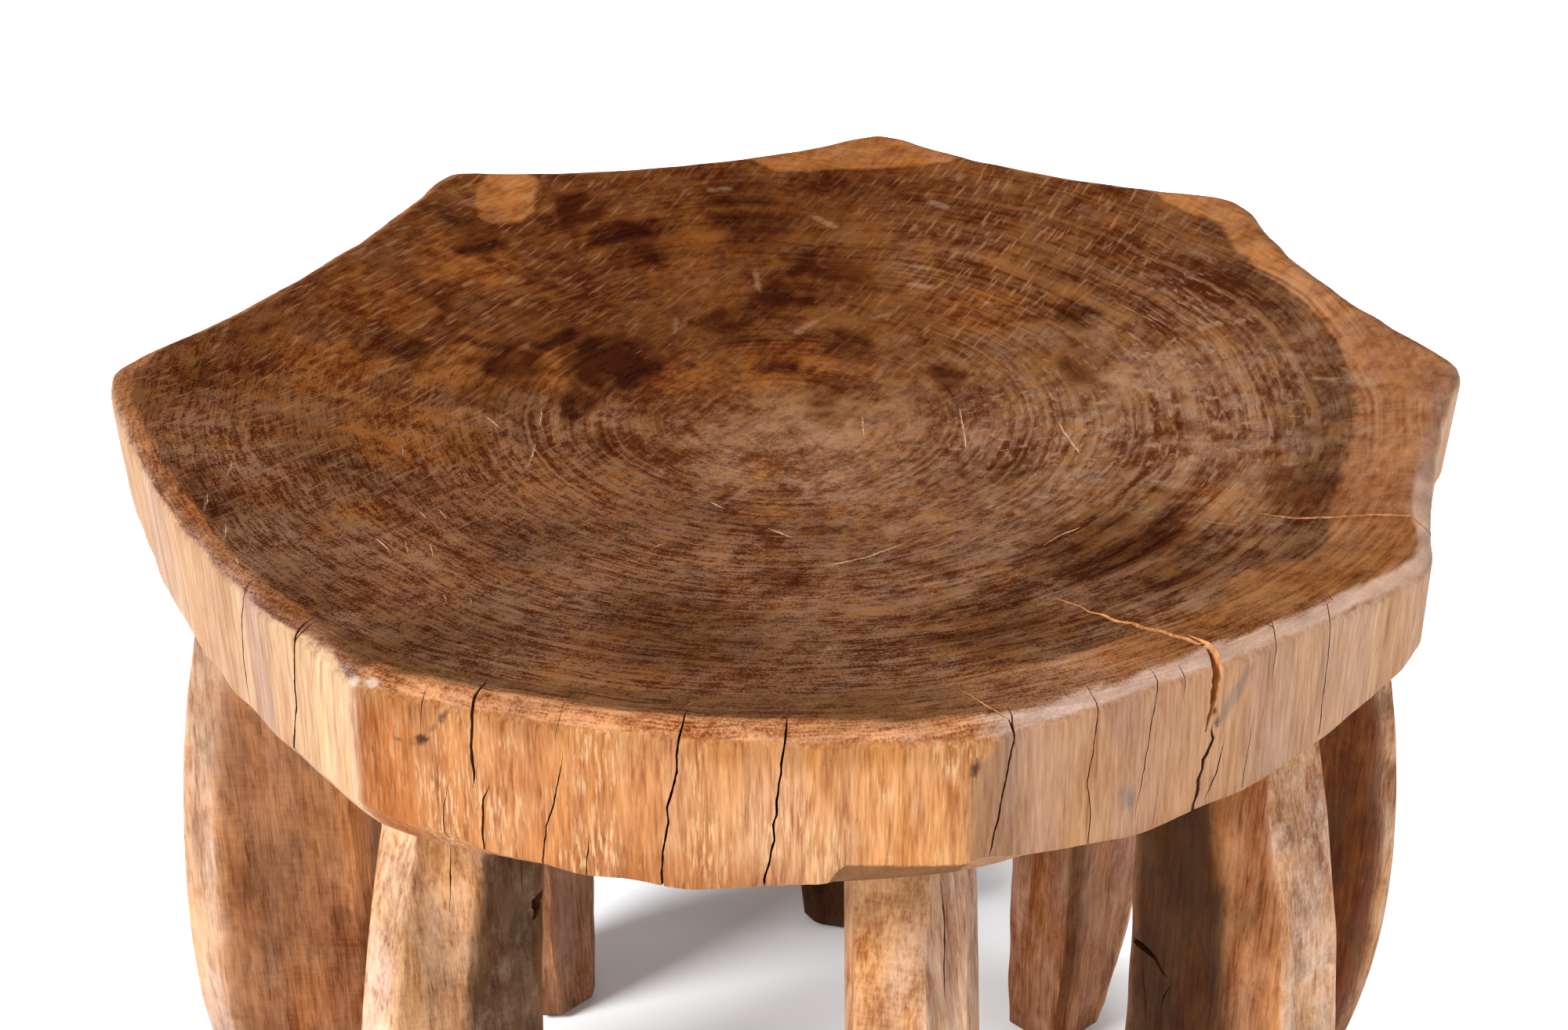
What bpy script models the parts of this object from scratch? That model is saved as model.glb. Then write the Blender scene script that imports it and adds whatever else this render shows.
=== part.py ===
"""Carved stool: a dished seat with eight points, standing on eight bowed legs.

The seat is one thick disc of wood. Its outline has eight points, joined by
sides that are hollowed at the back and full at the front. One hewn leg stands
under each point. Each leg ends in a round stub tenon, which sits in a blind
mortise in the seat's underside.

Sizes are in metres, +Z is up, and the stool's box is centred over the origin,
which lies on the floor. The user sits facing any way; -Y is the stool's front.
"""
import math
from collections import namedtuple

import bmesh
import bpy
from mathutils import Matrix, Vector

# Seat, in plan
POINT_RADIUS = 0.225
SIDE_HOLLOW = 0.016
CORNER_CUT = 0.009
SEAT_SEGMENTS = 11

# Seat, in section
TOTAL_HEIGHT = 0.380
SEAT_THICKNESS = 0.051
DISH_DEPTH = 0.0225
LAND_WIDTH = 0.0075
ARRIS_DROP = 0.0045
WALL_FLARE = 0.0015
WALL_AT_POINT = 0.037
WALL_BETWEEN = 0.0435
CHAMFER_AT_POINT = 0.010
CHAMFER_BETWEEN = 0.0045

# Legs
LEG_SET_IN = 0.028
LEG_BOW = 0.031
FOOT_TUCK = 0.012
BOW_HEIGHT = 0.148
LEG_TOP_DEPTH = 0.050
LEG_BOW_DEPTH = 0.069
LEG_FOOT_DEPTH = 0.045
LEG_TOP_WIDTH = 0.038
LEG_BOW_WIDTH = 0.040
LEG_FOOT_WIDTH = 0.030
OUTER_CHAMFER_RUN = 0.013
INNER_CHAMFER_RUN = 0.006
FOOT_EASE = 0.003

# Joint between a leg and the seat
TENON_RADIUS = 0.0125
TENON_LENGTH = 0.020
JOINT_CLEARANCE = 0.0003
CUT_OVERRUN = 0.004

# The eight points, counter-clockwise from the front one. Bearings are in
# degrees from +X, and the reaches are shares of the point radius.
POINT_BEARINGS = (283.0, 324.0, 360.0, 400.6, 440.3, 487.4, 540.9, 599.2)
POINT_REACH_SHARES = (0.995, 1.009, 1.006, 1.036, 1.018, 1.008, 1.015, 0.997)
CORNER_CUT_SHARES = (0.55, 0.75, 1.20, 1.40, 0.90, 1.00, 1.20, 0.60)
WALL_AT_POINT_SHARES = (1.02, 0.78, 0.86, 0.95, 0.95, 0.95, 0.92, 1.05)
WALL_FLARE_SHARES = (1.00, 0.00, -1.60, -0.80, -0.80, -0.80, -1.00, 1.30)
CHAMFER_AT_POINT_SHARES = (1.00, 1.70, 1.20, 1.00, 1.00, 1.00, 0.70, 0.45)

# The sides, each named after the point before it. The bulge is how far the
# middle stands out of the straight line between the points, as a share of the
# deepest hollow, and is negative where the side is hollow.
SIDE_BULGE_SHARES = (0.31, -0.28, -0.58, -0.70, -1.00, -0.66, 0.79, 0.72)
WALL_BETWEEN_SHARES = (1.07, 0.86, 0.95, 0.97, 0.98, 0.98, 1.00, 1.10)
CHAMFER_BETWEEN_SHARES = (2.20, 2.60, 1.80, 1.50, 1.50, 1.50, 1.30, 1.00)

# Where the rings of the dish lie between its middle and its edge
DISH_RING_SHARES = (0.12, 0.24, 0.36, 0.48, 0.60, 0.71, 0.81, 0.90, 0.96)
ARRIS_STEPS = 4

# The legs, in the points' order
LEG_NAMES = (
    "leg_front", "leg_front_right", "leg_right", "leg_back_right",
    "leg_back", "leg_back_left", "leg_left", "leg_front_left",
)
LEG_TURNS = (-2.1, -3.0, 0.0, 0.5, 2.0, 3.5, 0.0, -1.5)
LEG_TWISTS = (-24.0, -14.0, 0.0, 2.0, -5.0, 3.0, 0.0, -7.0)
LEG_REACH_SHARES = (1.00, 0.985, 0.975, 0.91, 0.99, 0.97, 0.975, 0.995)
LEG_BOW_SHARES = (1.00, 0.86, 1.00, 0.55, 0.90, 0.75, 0.98, 1.05)
FOOT_TUCK_SHARES = (1.00, 1.00, 1.60, 0.30, -1.40, 0.20, 0.80, 1.00)
LEG_WIDTH_SHARES = (0.83, 0.97, 1.00, 0.98, 1.00, 1.03, 1.00, 0.80)
LEG_DEPTH_SHARES = (0.98, 1.02, 0.97, 0.90, 0.98, 0.95, 1.03, 0.88)
BOW_HEIGHT_SHARES = (1.00, 1.04, 1.10, 1.00, 1.00, 0.96, 0.92, 1.00)

# Where a leg's two end faces stop, as shares of half its width, and how far the
# outer chamfers run. "Next" is the side towards the next leg in the list.
OUTER_NEXT_SHARES = (0.66, 0.58, 0.60, 0.60, 0.60, 0.60, 0.62, 0.18)
OUTER_LAST_SHARES = (0.66, 0.72, 0.60, 0.60, 0.60, 0.60, 0.62, 0.70)
RUN_NEXT_SHARES = (2.40, 1.00, 1.00, 1.00, 1.00, 1.00, 1.00, 1.35)
RUN_LAST_SHARES = (1.00, 1.40, 1.00, 1.00, 1.00, 1.00, 1.00, 1.00)
INNER_FACE_SHARES = (0.56, 0.56, 0.56, 0.85, 0.56, 0.56, 0.56, 0.56)

LEG_LEVELS = 14
ROUND_STEPS = 24
POINTS = len(POINT_BEARINGS)

Station = namedtuple("Station", "place side along")

# Colours and roughness, linear
SEAT_WOOD = ((0.175, 0.062, 0.022, 1.0), 0.48)
LEG_WOODS = (
    ((0.400, 0.165, 0.055, 1.0), 0.60), ((0.270, 0.125, 0.055, 1.0), 0.62),
    ((0.205, 0.080, 0.032, 1.0), 0.60), ((0.215, 0.090, 0.050, 1.0), 0.60),
    ((0.150, 0.060, 0.030, 1.0), 0.62), ((0.250, 0.125, 0.070, 1.0), 0.60),
    ((0.225, 0.085, 0.035, 1.0), 0.58), ((0.350, 0.175, 0.085, 1.0), 0.62),
)


def clear_scene():
    for item in list(bpy.data.objects):
        bpy.data.objects.remove(item, do_unlink=True)


def wood(name, look):
    """A plain wood finish of one colour."""
    colour, roughness = look
    material = bpy.data.materials.new(name)
    material.use_nodes = True
    shader = material.node_tree.nodes["Principled BSDF"]
    shader.inputs["Base Color"].default_value = colour
    shader.inputs["Roughness"].default_value = roughness
    shader.inputs["Metallic"].default_value = 0.0
    material.diffuse_color = colour
    return material


def lofted(name, rings):
    """A closed mesh through rings of equal length, listed from the bottom up."""
    mesh = bpy.data.meshes.new(name)
    shape = bmesh.new()
    loops = [[shape.verts.new(point) for point in ring] for ring in rings]
    shape.faces.new(list(reversed(loops[0])))
    shape.faces.new(loops[-1])
    for lower, upper in zip(loops, loops[1:]):
        for i, corner in enumerate(lower):
            after = (i + 1) % len(lower)
            shape.faces.new((corner, lower[after], upper[after], upper[i]))
    shape.to_mesh(mesh)
    shape.free()
    return mesh


def add_piece(name, mesh, parent, look):
    piece = bpy.data.objects.new(name, mesh)
    bpy.context.scene.collection.objects.link(piece)
    piece.parent = parent
    mesh.materials.append(wood(name + "_wood", look))
    return piece


def add_cutter(name, mesh, parent):
    """A hidden shape for a Boolean."""
    cutter = bpy.data.objects.new(name, mesh)
    bpy.context.scene.collection.objects.link(cutter)
    cutter.parent = parent
    cutter.hide_render = True
    cutter.display_type = "WIRE"
    return cutter


def add_boolean(piece, cutter, operation):
    change = piece.modifiers.new(cutter.name, "BOOLEAN")
    change.operation = operation
    change.solver = "EXACT"
    change.object = cutter


def point_in_plan(index):
    """The tip of one of the eight points, seen from above."""
    bearing = math.radians(POINT_BEARINGS[index % POINTS])
    reach = POINT_RADIUS * POINT_REACH_SHARES[index % POINTS]
    return Vector((reach * math.cos(bearing), reach * math.sin(bearing)))


def corner_cut_share(point, side):
    """How much of a side is taken up by the rounding of one of its points."""
    length = (point_in_plan(side) - point_in_plan(side + 1)).length
    return CORNER_CUT * CORNER_CUT_SHARES[point % POINTS] / length


def side_station(side, along):
    """A place on the bowed side after a point, at a share of its length."""
    start = point_in_plan(side)
    end = point_in_plan(side + 1)
    outward = Vector((end.y - start.y, start.x - end.x)).normalized()
    bulge = SIDE_HOLLOW * SIDE_BULGE_SHARES[side % POINTS]
    place = start.lerp(end, along) + outward * bulge * arch(along)
    return Station(place, side, along)


def arch(along):
    """A parabola over 0 to 1 that stands at 1 in the middle."""
    return 4 * along * (1 - along)


def outline():
    """Stations round the seat's rim, counter-clockwise from above."""
    stations = []
    for side in range(POINTS):
        first = corner_cut_share(side, side)
        last = 1 - corner_cut_share(side + 1, side)
        before = side_station(side - 1, 1 - corner_cut_share(side, side - 1))
        after = side_station(side, first)
        nose = before.place.lerp(after.place, 0.5).lerp(point_in_plan(side), 0.5)
        stations.append(Station(nose, side, 0))
        for step in range(SEAT_SEGMENTS):
            along = first + (last - first) * step / (SEAT_SEGMENTS - 1)
            stations.append(side_station(side, along))
    return stations


def along_side(station, at_points, between):
    """A size that changes from one point through the side's middle to the next."""
    here = at_points[station.side]
    there = at_points[(station.side + 1) % POINTS]
    plain = here + (there - here) * station.along
    middle = (here + there) / 2
    return plain + (between[station.side] - middle) * arch(station.along)


def inset_ring(stations, insets, heights):
    """The rim drawn in towards the middle, at a height, station by station."""
    ring = []
    for station, inset, height in zip(stations, insets, heights):
        drawn_in = station.place * (1 - inset / station.place.length)
        ring.append(Vector((drawn_in.x, drawn_in.y, height)))
    return ring


def level_ring(stations, inset, height):
    """The rim drawn in by one length, all at one height."""
    return inset_ring(stations, [inset] * len(stations), [height] * len(stations))


def make_seat(parent):
    """The dished disc: chamfer, wall, worn arris, land and dish.

    The dish follows the rim at its edge and grows round towards its middle.
    """
    stations = outline()
    top = TOTAL_HEIGHT
    point_walls = [WALL_AT_POINT * share for share in WALL_AT_POINT_SHARES]
    side_walls = [WALL_BETWEEN * share for share in WALL_BETWEEN_SHARES]
    wall_feet = [top - along_side(station, point_walls, side_walls) for station in stations]
    point_chamfers = [CHAMFER_AT_POINT * share for share in CHAMFER_AT_POINT_SHARES]
    side_chamfers = [CHAMFER_BETWEEN * share for share in CHAMFER_BETWEEN_SHARES]
    chamfers = [along_side(station, point_chamfers, side_chamfers) for station in stations]
    point_flares = [-WALL_FLARE * share for share in WALL_FLARE_SHARES]
    flares = [along_side(station, point_flares, point_flares) for station in stations]
    rings = [
        inset_ring(stations, chamfers, [top - SEAT_THICKNESS] * len(stations)),
        inset_ring(stations, flares, wall_feet),
    ]
    for step in range(ARRIS_STEPS + 1):
        turn = math.radians(90) * step / ARRIS_STEPS
        inset = LAND_WIDTH * (1 - math.cos(turn))
        rings.append(level_ring(stations, inset, top - ARRIS_DROP * (1 - math.sin(turn))))
    edge = [station.place.length - LAND_WIDTH for station in stations]
    mean_edge = sum(edge) / len(edge)
    for share in reversed(DISH_RING_SHARES):
        like_rim = share * share
        height = top - DISH_DEPTH * (1 - share * share)
        ring = []
        for station, reach in zip(stations, edge):
            place = station.place.normalized() * share
            place *= mean_edge + (reach - mean_edge) * like_rim
            ring.append(Vector((place.x, place.y, height)))
        rings.append(ring)
    return add_piece("seat", lofted("seat", rings), parent, SEAT_WOOD)


def eased(height, top_height, bow_height, at_top, at_bow, at_foot):
    """A size that runs smoothly from the foot through the bow to the top."""
    if height > bow_height:
        away = (height - bow_height) / (top_height - bow_height)
        return at_bow + (at_top - at_bow) * away * away
    away = (bow_height - height) / bow_height
    return at_bow + (at_foot - at_bow) * away * away


def leg_section(index, outer, depth, width, height):
    """An eight-sided section: end faces, flat sides and four chamfers.

    It is turned by the leg's twist about its own middle.
    """
    front = depth / 2
    half = width / 2
    inner_half = half * INNER_FACE_SHARES[index]
    corners = (
        (front, half * OUTER_NEXT_SHARES[index]),
        (front - OUTER_CHAMFER_RUN * RUN_NEXT_SHARES[index], half),
        (INNER_CHAMFER_RUN - front, half),
        (-front, inner_half),
        (-front, -inner_half),
        (INNER_CHAMFER_RUN - front, -half),
        (front - OUTER_CHAMFER_RUN * RUN_LAST_SHARES[index], -half),
        (front, -half * OUTER_LAST_SHARES[index]),
    )
    twist = Matrix.Rotation(math.radians(LEG_TWISTS[index]), 3, "Z")
    middle = Vector((outer - front, 0, height))
    return [middle + twist @ Vector((x, y, 0)) for x, y in corners]


def leg_top_reach(index):
    """How far out the leg's outer face lies at the seat's underside."""
    point = POINT_RADIUS * POINT_REACH_SHARES[index]
    return (point - LEG_SET_IN) * LEG_REACH_SHARES[index]


def tenon_reach(index):
    return leg_top_reach(index) - LEG_TOP_DEPTH * LEG_DEPTH_SHARES[index] / 2


def make_leg(index, parent):
    """One leg, lying along +X from its tenon's axis, turned to its bearing."""
    name = LEG_NAMES[index]
    top_height = TOTAL_HEIGHT - SEAT_THICKNESS - JOINT_CLEARANCE
    bow_height = BOW_HEIGHT * BOW_HEIGHT_SHARES[index]
    axis = tenon_reach(index)
    top_outer = leg_top_reach(index) - axis
    bow_outer = top_outer + LEG_BOW * LEG_BOW_SHARES[index]
    foot_outer = top_outer - FOOT_TUCK * FOOT_TUCK_SHARES[index]
    depths = [size * LEG_DEPTH_SHARES[index] for size in (LEG_TOP_DEPTH, LEG_BOW_DEPTH, LEG_FOOT_DEPTH)]
    widths = [size * LEG_WIDTH_SHARES[index] for size in (LEG_TOP_WIDTH, LEG_BOW_WIDTH, LEG_FOOT_WIDTH)]
    sections = []
    for level in range(LEG_LEVELS + 1):
        height = FOOT_EASE + (top_height - FOOT_EASE) * level / LEG_LEVELS
        outer = eased(height, top_height, bow_height, top_outer, bow_outer, foot_outer)
        depth = eased(height, top_height, bow_height, *depths)
        width = eased(height, top_height, bow_height, *widths)
        if level == 0:
            inset = 2 * FOOT_EASE
            sections.append(leg_section(index, outer - FOOT_EASE, depth - inset, width - inset, 0))
        sections.append(leg_section(index, outer, depth, width, height))
    leg = add_piece(name, lofted(name, sections), parent, LEG_WOODS[index])
    bearing = math.radians(POINT_BEARINGS[index] + LEG_TURNS[index])
    leg.location = (axis * math.cos(bearing), axis * math.sin(bearing), 0)
    leg.rotation_euler = (0, 0, bearing)
    return leg


def round_bar(name, radius, low, high):
    """A round bar about the Z axis."""
    bar = bmesh.new()
    middle = Matrix.Translation((0, 0, (low + high) / 2))
    bmesh.ops.create_cone(bar, cap_ends=True, segments=ROUND_STEPS, radius1=radius, radius2=radius,
                          depth=high - low, matrix=middle)
    mesh = bpy.data.meshes.new(name)
    bar.to_mesh(mesh)
    bar.free()
    return mesh


def join_leg(index, leg, seat):
    """The tenon on the leg, and its mortise in the seat."""
    shoulder = TOTAL_HEIGHT - SEAT_THICKNESS
    tenon_mesh = round_bar("tenon", TENON_RADIUS, shoulder - CUT_OVERRUN, shoulder + TENON_LENGTH)
    tenon = add_cutter(LEG_NAMES[index] + "_tenon", tenon_mesh, leg)
    add_boolean(leg, tenon, "UNION")
    mortise_mesh = round_bar("mortise", TENON_RADIUS + JOINT_CLEARANCE, shoulder - CUT_OVERRUN,
                             shoulder + TENON_LENGTH + JOINT_CLEARANCE)
    mortise = add_cutter(LEG_NAMES[index] + "_mortise", mortise_mesh, seat)
    mortise.location = leg.location
    mortise.rotation_euler = leg.rotation_euler
    add_boolean(seat, mortise, "DIFFERENCE")


def centre_over_origin(stool, pieces):
    """Move the whole stool so that its box is centred over the origin."""
    bpy.context.view_layer.update()
    corners = [piece.matrix_world @ vertex.co for piece in pieces for vertex in piece.data.vertices]
    for axis in (0, 1):
        places = [corner[axis] for corner in corners]
        stool.location[axis] = -(min(places) + max(places)) / 2
    bpy.context.view_layer.update()


def build():
    clear_scene()
    stool = bpy.data.objects.new("stool", None)
    bpy.context.scene.collection.objects.link(stool)
    seat = make_seat(stool)
    legs = [make_leg(index, stool) for index in range(len(LEG_NAMES))]
    for index, leg in enumerate(legs):
        join_leg(index, leg, seat)
    centre_over_origin(stool, [seat] + legs)


build()
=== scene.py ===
import math

import bmesh
import bpy
import numpy as np
from mathutils import Euler, Matrix, Vector
from mathutils.bvhtree import BVHTree
from mathutils.kdtree import KDTree


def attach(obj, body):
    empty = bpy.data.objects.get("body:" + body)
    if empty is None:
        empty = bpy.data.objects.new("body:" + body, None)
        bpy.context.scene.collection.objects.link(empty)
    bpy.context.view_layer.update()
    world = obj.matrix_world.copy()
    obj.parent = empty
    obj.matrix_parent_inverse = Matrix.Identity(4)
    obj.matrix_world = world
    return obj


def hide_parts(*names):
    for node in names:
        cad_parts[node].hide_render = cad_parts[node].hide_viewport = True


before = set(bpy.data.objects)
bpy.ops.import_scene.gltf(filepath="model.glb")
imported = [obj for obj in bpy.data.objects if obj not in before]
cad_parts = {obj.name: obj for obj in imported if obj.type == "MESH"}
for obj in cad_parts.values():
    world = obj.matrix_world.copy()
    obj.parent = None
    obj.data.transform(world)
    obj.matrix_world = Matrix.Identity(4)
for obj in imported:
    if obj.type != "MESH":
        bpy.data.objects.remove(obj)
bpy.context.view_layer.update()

MM = 0.001
TURN = 2 * math.pi
WAVE_COUNT = 18
CAST_STEP = 4.0

# Camera, fitted to the photograph
PHOTO_SIZE = (2000, 1314)
SENSOR_WIDTH = 36.0
LENS = 54.0
CAMERA_PLACE = Vector((-0.00135, -0.71273, 0.7189))
CAMERA_TURN = Euler((math.radians(60.81), 0, 0))

# Seat grid
COLUMNS = 720
LAND = 7.5 * MM
ARRIS = 4.5 * MM
UNDER_SHARES = (0.12, 0.3, 0.5, 0.68, 0.8, 0.88, 0.93, 0.965, 0.985, 1.0)
UNDER_HALVING_SHARES = (0.4, 0.9, 0.98)
UNDERSIDE, CHAMFER, WALL, EDGE, DISH = range(5)
CHAMFER_ROWS = 5
WALL_ROWS = 20
ARRIS_ROWS = 8
DISH_STEP = 2.1 * MM
HALVING_REACHES = (0.116, 0.058, 0.03, 0.015)
POINT_RADIUS = 225 * MM
INNER_RING_LIMIT = 40 * MM
SCOOPED_REACH = POINT_RADIUS - 12 * MM
PITH_SHIFT = (-5.4 * MM, 0)
TOUCH = 0.1 * MM

# How far hand work and wear move the surfaces
WALL_WOBBLE = 0.40 * MM
WALL_FIBRE = 0.07 * MM
ARRIS_WOBBLE = 0.45 * MM
FOOT_WOBBLE = 0.8 * MM
DISH_WOBBLE = 0.35 * MM
SCOOP_PITCH = 12 * MM
SCOOP_DEPTH = 0.16 * MM
EDGE_WOBBLE = 0.7 * MM
HEWN_WOBBLE = 0.45 * MM
FIBRE_WOBBLE = 0.10 * MM
EDGE_PERIOD = 38 * MM
HEWN_PERIOD = 16 * MM
FIBRE_PERIOD = 3.0 * MM

# The random fields: seed and period
FOOT_RIPPLE = (11, 30 * MM)
ARRIS_RIPPLE = (12, 16 * MM)
ARRIS_DRIFT = (13, 50 * MM)
DROP_DRIFT = (14, 24 * MM)
WALL_RIPPLE = (21, 24 * MM)
WALL_FIBRES = (22, 3.2 * MM)
DISH_DRIFT = (23, 55 * MM)
EDGE_RIPPLE = (41, 14 * MM)
HEART_CLOUDS = (42, 60 * MM)
GREY_STREAKS = (43, 9 * MM)
LAND_INNER = (45, 22 * MM)
LAND_CLOUDS = (46, 16 * MM)
STAIN_STREAKS = (47, 9 * MM)
PATCH_RIPPLE = (48, 9 * MM)
LEG_CLOUDS = (700, 30 * MM)
LEG_EDGE_BREAKS = (701, 14 * MM)

# How painted fields run: over which length a mark and a stored distance go from 0 to 1, how ragged spots are,
# and the limits of the seat's paints
MARK_REACH = 12 * MM
FIELD_SPAN = 20 * MM
SPOT_RAGGED = 3.5 * MM
SPOT_PERIOD = 13 * MM
PAINT_RANGE = (0.001, 0.9)

# Seeds that are counted up, one for each thing of a kind
SCOOP_SEED = 31
WALL_CRACK_SEED, TOP_CRACK_SEED, NICK_SEED = 100, 200, 300
OPEN_TOP_SEED, OPEN_WALL_SEED = 401, 402
LEG_SEED = 500
SPOT_SEED = 600
LEG_CRACK_SEED = 800

# The blades that cut the cracks: how far they stand out, how much they wander in mm, and their steps
BLADE_LIFT = 1.2 * MM
BLADE_DRIFT = 0.16
WALL_CRACK_STEP = 1.6 * MM
TOP_CRACK_STEP = 1.4 * MM
NICK_STEP = 1.2 * MM
NICK_WIDTH = 0.8 * MM
NICK_DEPTH = 0.4 * MM
NICK_TAPERS = (3, 3)
MORTISE_SIDES = 48
MORTISE_OVERRUN = 4 * MM
LEG_CRACK_STEP = 1.8 * MM

# Upright arrises where two hewn sides of the seat meet, in degrees
V8_BEARING = 238.5
V1_BEARING = 281.0
CREASES = (V8_BEARING, V1_BEARING)
CREASE_SPREAD = 3.2
CREASE_HEIGHT = 0.9 * MM

# The shaved facet under the front point: bearings in degrees, height, and inward run for each unit of height
SHAVED_SPAN = (268.5, 285.0)
SHAVED_RISE = (270.6, 273.0)
SHAVED_HEIGHT = 11.6 * MM
SHAVED_FALL = 6 * MM
SHAVED_RUN = 0.42

# Leg grid
FACETS = 8
LEG_STEP = 2.7 * MM
LEG_EDGE = 1.3 * MM
TENON_RADIUS = 12.5 * MM
TENON_LENGTH = 20 * MM
TENON_CHAMFER = 1 * MM
JOINT_CLEARANCE = 0.3 * MM
LEVEL_TOLERANCE = 0.2 * MM
FRONT_TOLERANCE = 0.3 * MM

# Bearing of each leg's outer face, in degrees
LEG_FACINGS = {
    "leg_front": 256.9,
    "leg_front_right": 307.0,
    "leg_right": 0.0,
    "leg_back_right": 43.1,
    "leg_back": 77.3,
    "leg_back_left": 133.9,
    "leg_left": 180.9,
    "leg_front_left": 230.7,
}

# Woods, as linear colours
PEACH = (0.345, 0.205, 0.128)
SHELL = (0.48, 0.275, 0.165)
DRIFT = (0.30, 0.165, 0.10)
TAN = (0.36, 0.19, 0.105)
HONEY = (0.37, 0.18, 0.085)
ORANGE = (0.37, 0.145, 0.052)
RUST = (0.215, 0.085, 0.037)
GREY_TAN = (0.33, 0.185, 0.115)
BROWN = (0.235, 0.105, 0.057)
UMBER = (0.135, 0.052, 0.020)
OLIVE = (0.092, 0.043, 0.019)
MAHOGANY = (0.122, 0.035, 0.007)
# near black, for the front-right leg's left-facing facet
NEAR_BLACK_BROWN = (0.074, 0.027, 0.008)
# painted shade: near black, for the back leg's facets that face the front, in the shade under the seat
BACK_LEG_SHADE = (0.034, 0.011, 0.003)
STAIN = (0.029, 0.0048, 0.0009)
HEART = (0.135, 0.050, 0.019)
SAP = (0.255, 0.103, 0.041)
BLEACHED = (0.53, 0.33, 0.18)
PALE_STRIP = (0.36, 0.20, 0.115)
WALKED_ON = (0.07, 0.035, 0.02)
BLOOM = (0.62, 0.49, 0.39)
DIRT = (0.048, 0.022, 0.010)

# How a low and a high tone, and a low and a high haze, change a wood
DEEP_TINT = (0.42, 0.20, 0.06)
PALE_TINT = (1.55, 1.77, 1.92)
WARM_TINT = (1.07, 0.91, 0.52)
COOL_TINT = (0.94, 1.04, 1.30)

# Heartwood and sapwood of the top, by region
HEART_RIGHT = (0.175, 0.078, 0.035)
HEART_BACK = (0.088, 0.027, 0.008)
HEART_RIM = (0.092, 0.036, 0.014)
HEART_LEFT_RIM = (0.090, 0.028, 0.009)
OILED = (0.20, 0.066, 0.017)
# partly rubbed wood and partly painted sheen, for the paler patches of the top
RUBBED_AND_SHEEN = (0.235, 0.105, 0.048)
SAP_FRONT_RIGHT = (0.19, 0.070, 0.022)
SAP_FRONT = (0.125, 0.048, 0.016)
SAP_LEFT = (0.26, 0.080, 0.020)

# The wall, by region
WALL_RIGHT = (0.34, 0.175, 0.098)
WALL_FAR_RIGHT = (0.36, 0.208, 0.130)
WALL_PAST_V1 = (0.235, 0.118, 0.064)
WALL_FRONT = (0.42, 0.190, 0.082)
WALL_PAST_V8 = (0.27, 0.082, 0.020)
WALL_HIGH = (0.31, 0.125, 0.042)
WALL_LOW = (0.28, 0.092, 0.028)
WALL_GREYED = (0.25, 0.14, 0.09)
WALL_CORNER = (0.45, 0.29, 0.175)
WALL_GREY_STRIPE = (0.27, 0.160, 0.115)
WALL_FOOT = (0.17, 0.072, 0.028)
# painted shade: the shaved facet under the front point faces down and is painted darker
SHAVED_SHADE = (0.105, 0.045, 0.017)

# The worn land, by region
LAND_BACK = (0.25, 0.10, 0.045)
LAND_LEFT = (0.20, 0.078, 0.034)
LAND_LEFT_EDGE = (0.215, 0.128, 0.095)
LAND_FRONT = (0.41, 0.163, 0.064)
# painted highlight: the pale pinkish satin band on the right of the arris, from V1 round to V3
LAND_PAINTED_HIGHLIGHT = (0.47, 0.30, 0.215)

# Small marks
PALE_MARK = (0.33, 0.195, 0.115)
SOOT = (0.026, 0.014, 0.009)
CHALK = (0.62, 0.50, 0.42)
SLATE = (0.15, 0.115, 0.10)

# The wood inside cracks and nicks. The dark one is partly older, darker wood and partly painted shade inside the
# narrow cracks
CRACK_WOODS = {
    "crack_old_and_shade": (0.10, 0.042, 0.018),
    "crack_fresh": (0.40, 0.17, 0.065),
    "crack_pale": (0.34, 0.20, 0.12),
}
OLD_WOOD_AND_SHADE, FRESH, PALE = range(3)

# Fine marks of the end grain
PALE_STROKE = (0.29, 0.135, 0.062)
PALE_DASH = (0.32, 0.185, 0.11)
SCRATCH = (0.34, 0.20, 0.12)
HAIRLINE = (0.10, 0.04, 0.018)

# The suns: bearing, rise and spread in degrees, what a white surface facing them gives back, whether they
# throw shadows, and whether they light the floor alone, which keeps it white round the stool
LIGHTS = {
    "key": (209, 38, 22, 1.62, True, False),
    "side": (335, 25, 45, 0.42, True, False),
    "overhead": (292, 66, 14, 1.0, True, True),
    "fill": (270, 90, 60, 0.15, False, True),
}
SKY_STRENGTH = 0.23
FLOOR_HALF = 8.0


def smooth(low, high, value):
    """0 below low, 1 above high, and a smooth change between them."""
    share = np.clip((value - low) / (high - low), 0, 1)
    return share * share * (3 - 2 * share)


def waves(seed, period):
    """A smooth random field of about -1 to 1 over points in metres."""
    draw = np.random.default_rng(seed)
    ways = draw.normal(size=(WAVE_COUNT, 3))
    ways /= np.linalg.norm(ways, axis=1)[:, None]
    ways *= (TURN / period * draw.uniform(0.55, 1.5, WAVE_COUNT))[:, None]
    phases = draw.uniform(0, TURN, WAVE_COUNT)

    def field(points):
        return np.cos(points @ ways.T + phases).sum(axis=1) / math.sqrt(WAVE_COUNT)

    return field


def curve_through(knots, values, tilt, at):
    """The smooth curve with these values and slopes at rising knots."""
    place = np.clip(np.searchsorted(knots, at, side="right") - 1, 0, len(knots) - 2)
    width = knots[place + 1] - knots[place]
    t = (at - knots[place]) / width
    return (
        values[place] * (1 + 2 * t) * (1 - t) ** 2
        + tilt[place] * width * t * (1 - t) ** 2
        + values[place + 1] * t * t * (3 - 2 * t)
        + tilt[place + 1] * width * t * t * (t - 1)
    )


def open_curve(knots, values, at):
    return curve_through(knots, values, np.gradient(values, knots), at)


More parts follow.
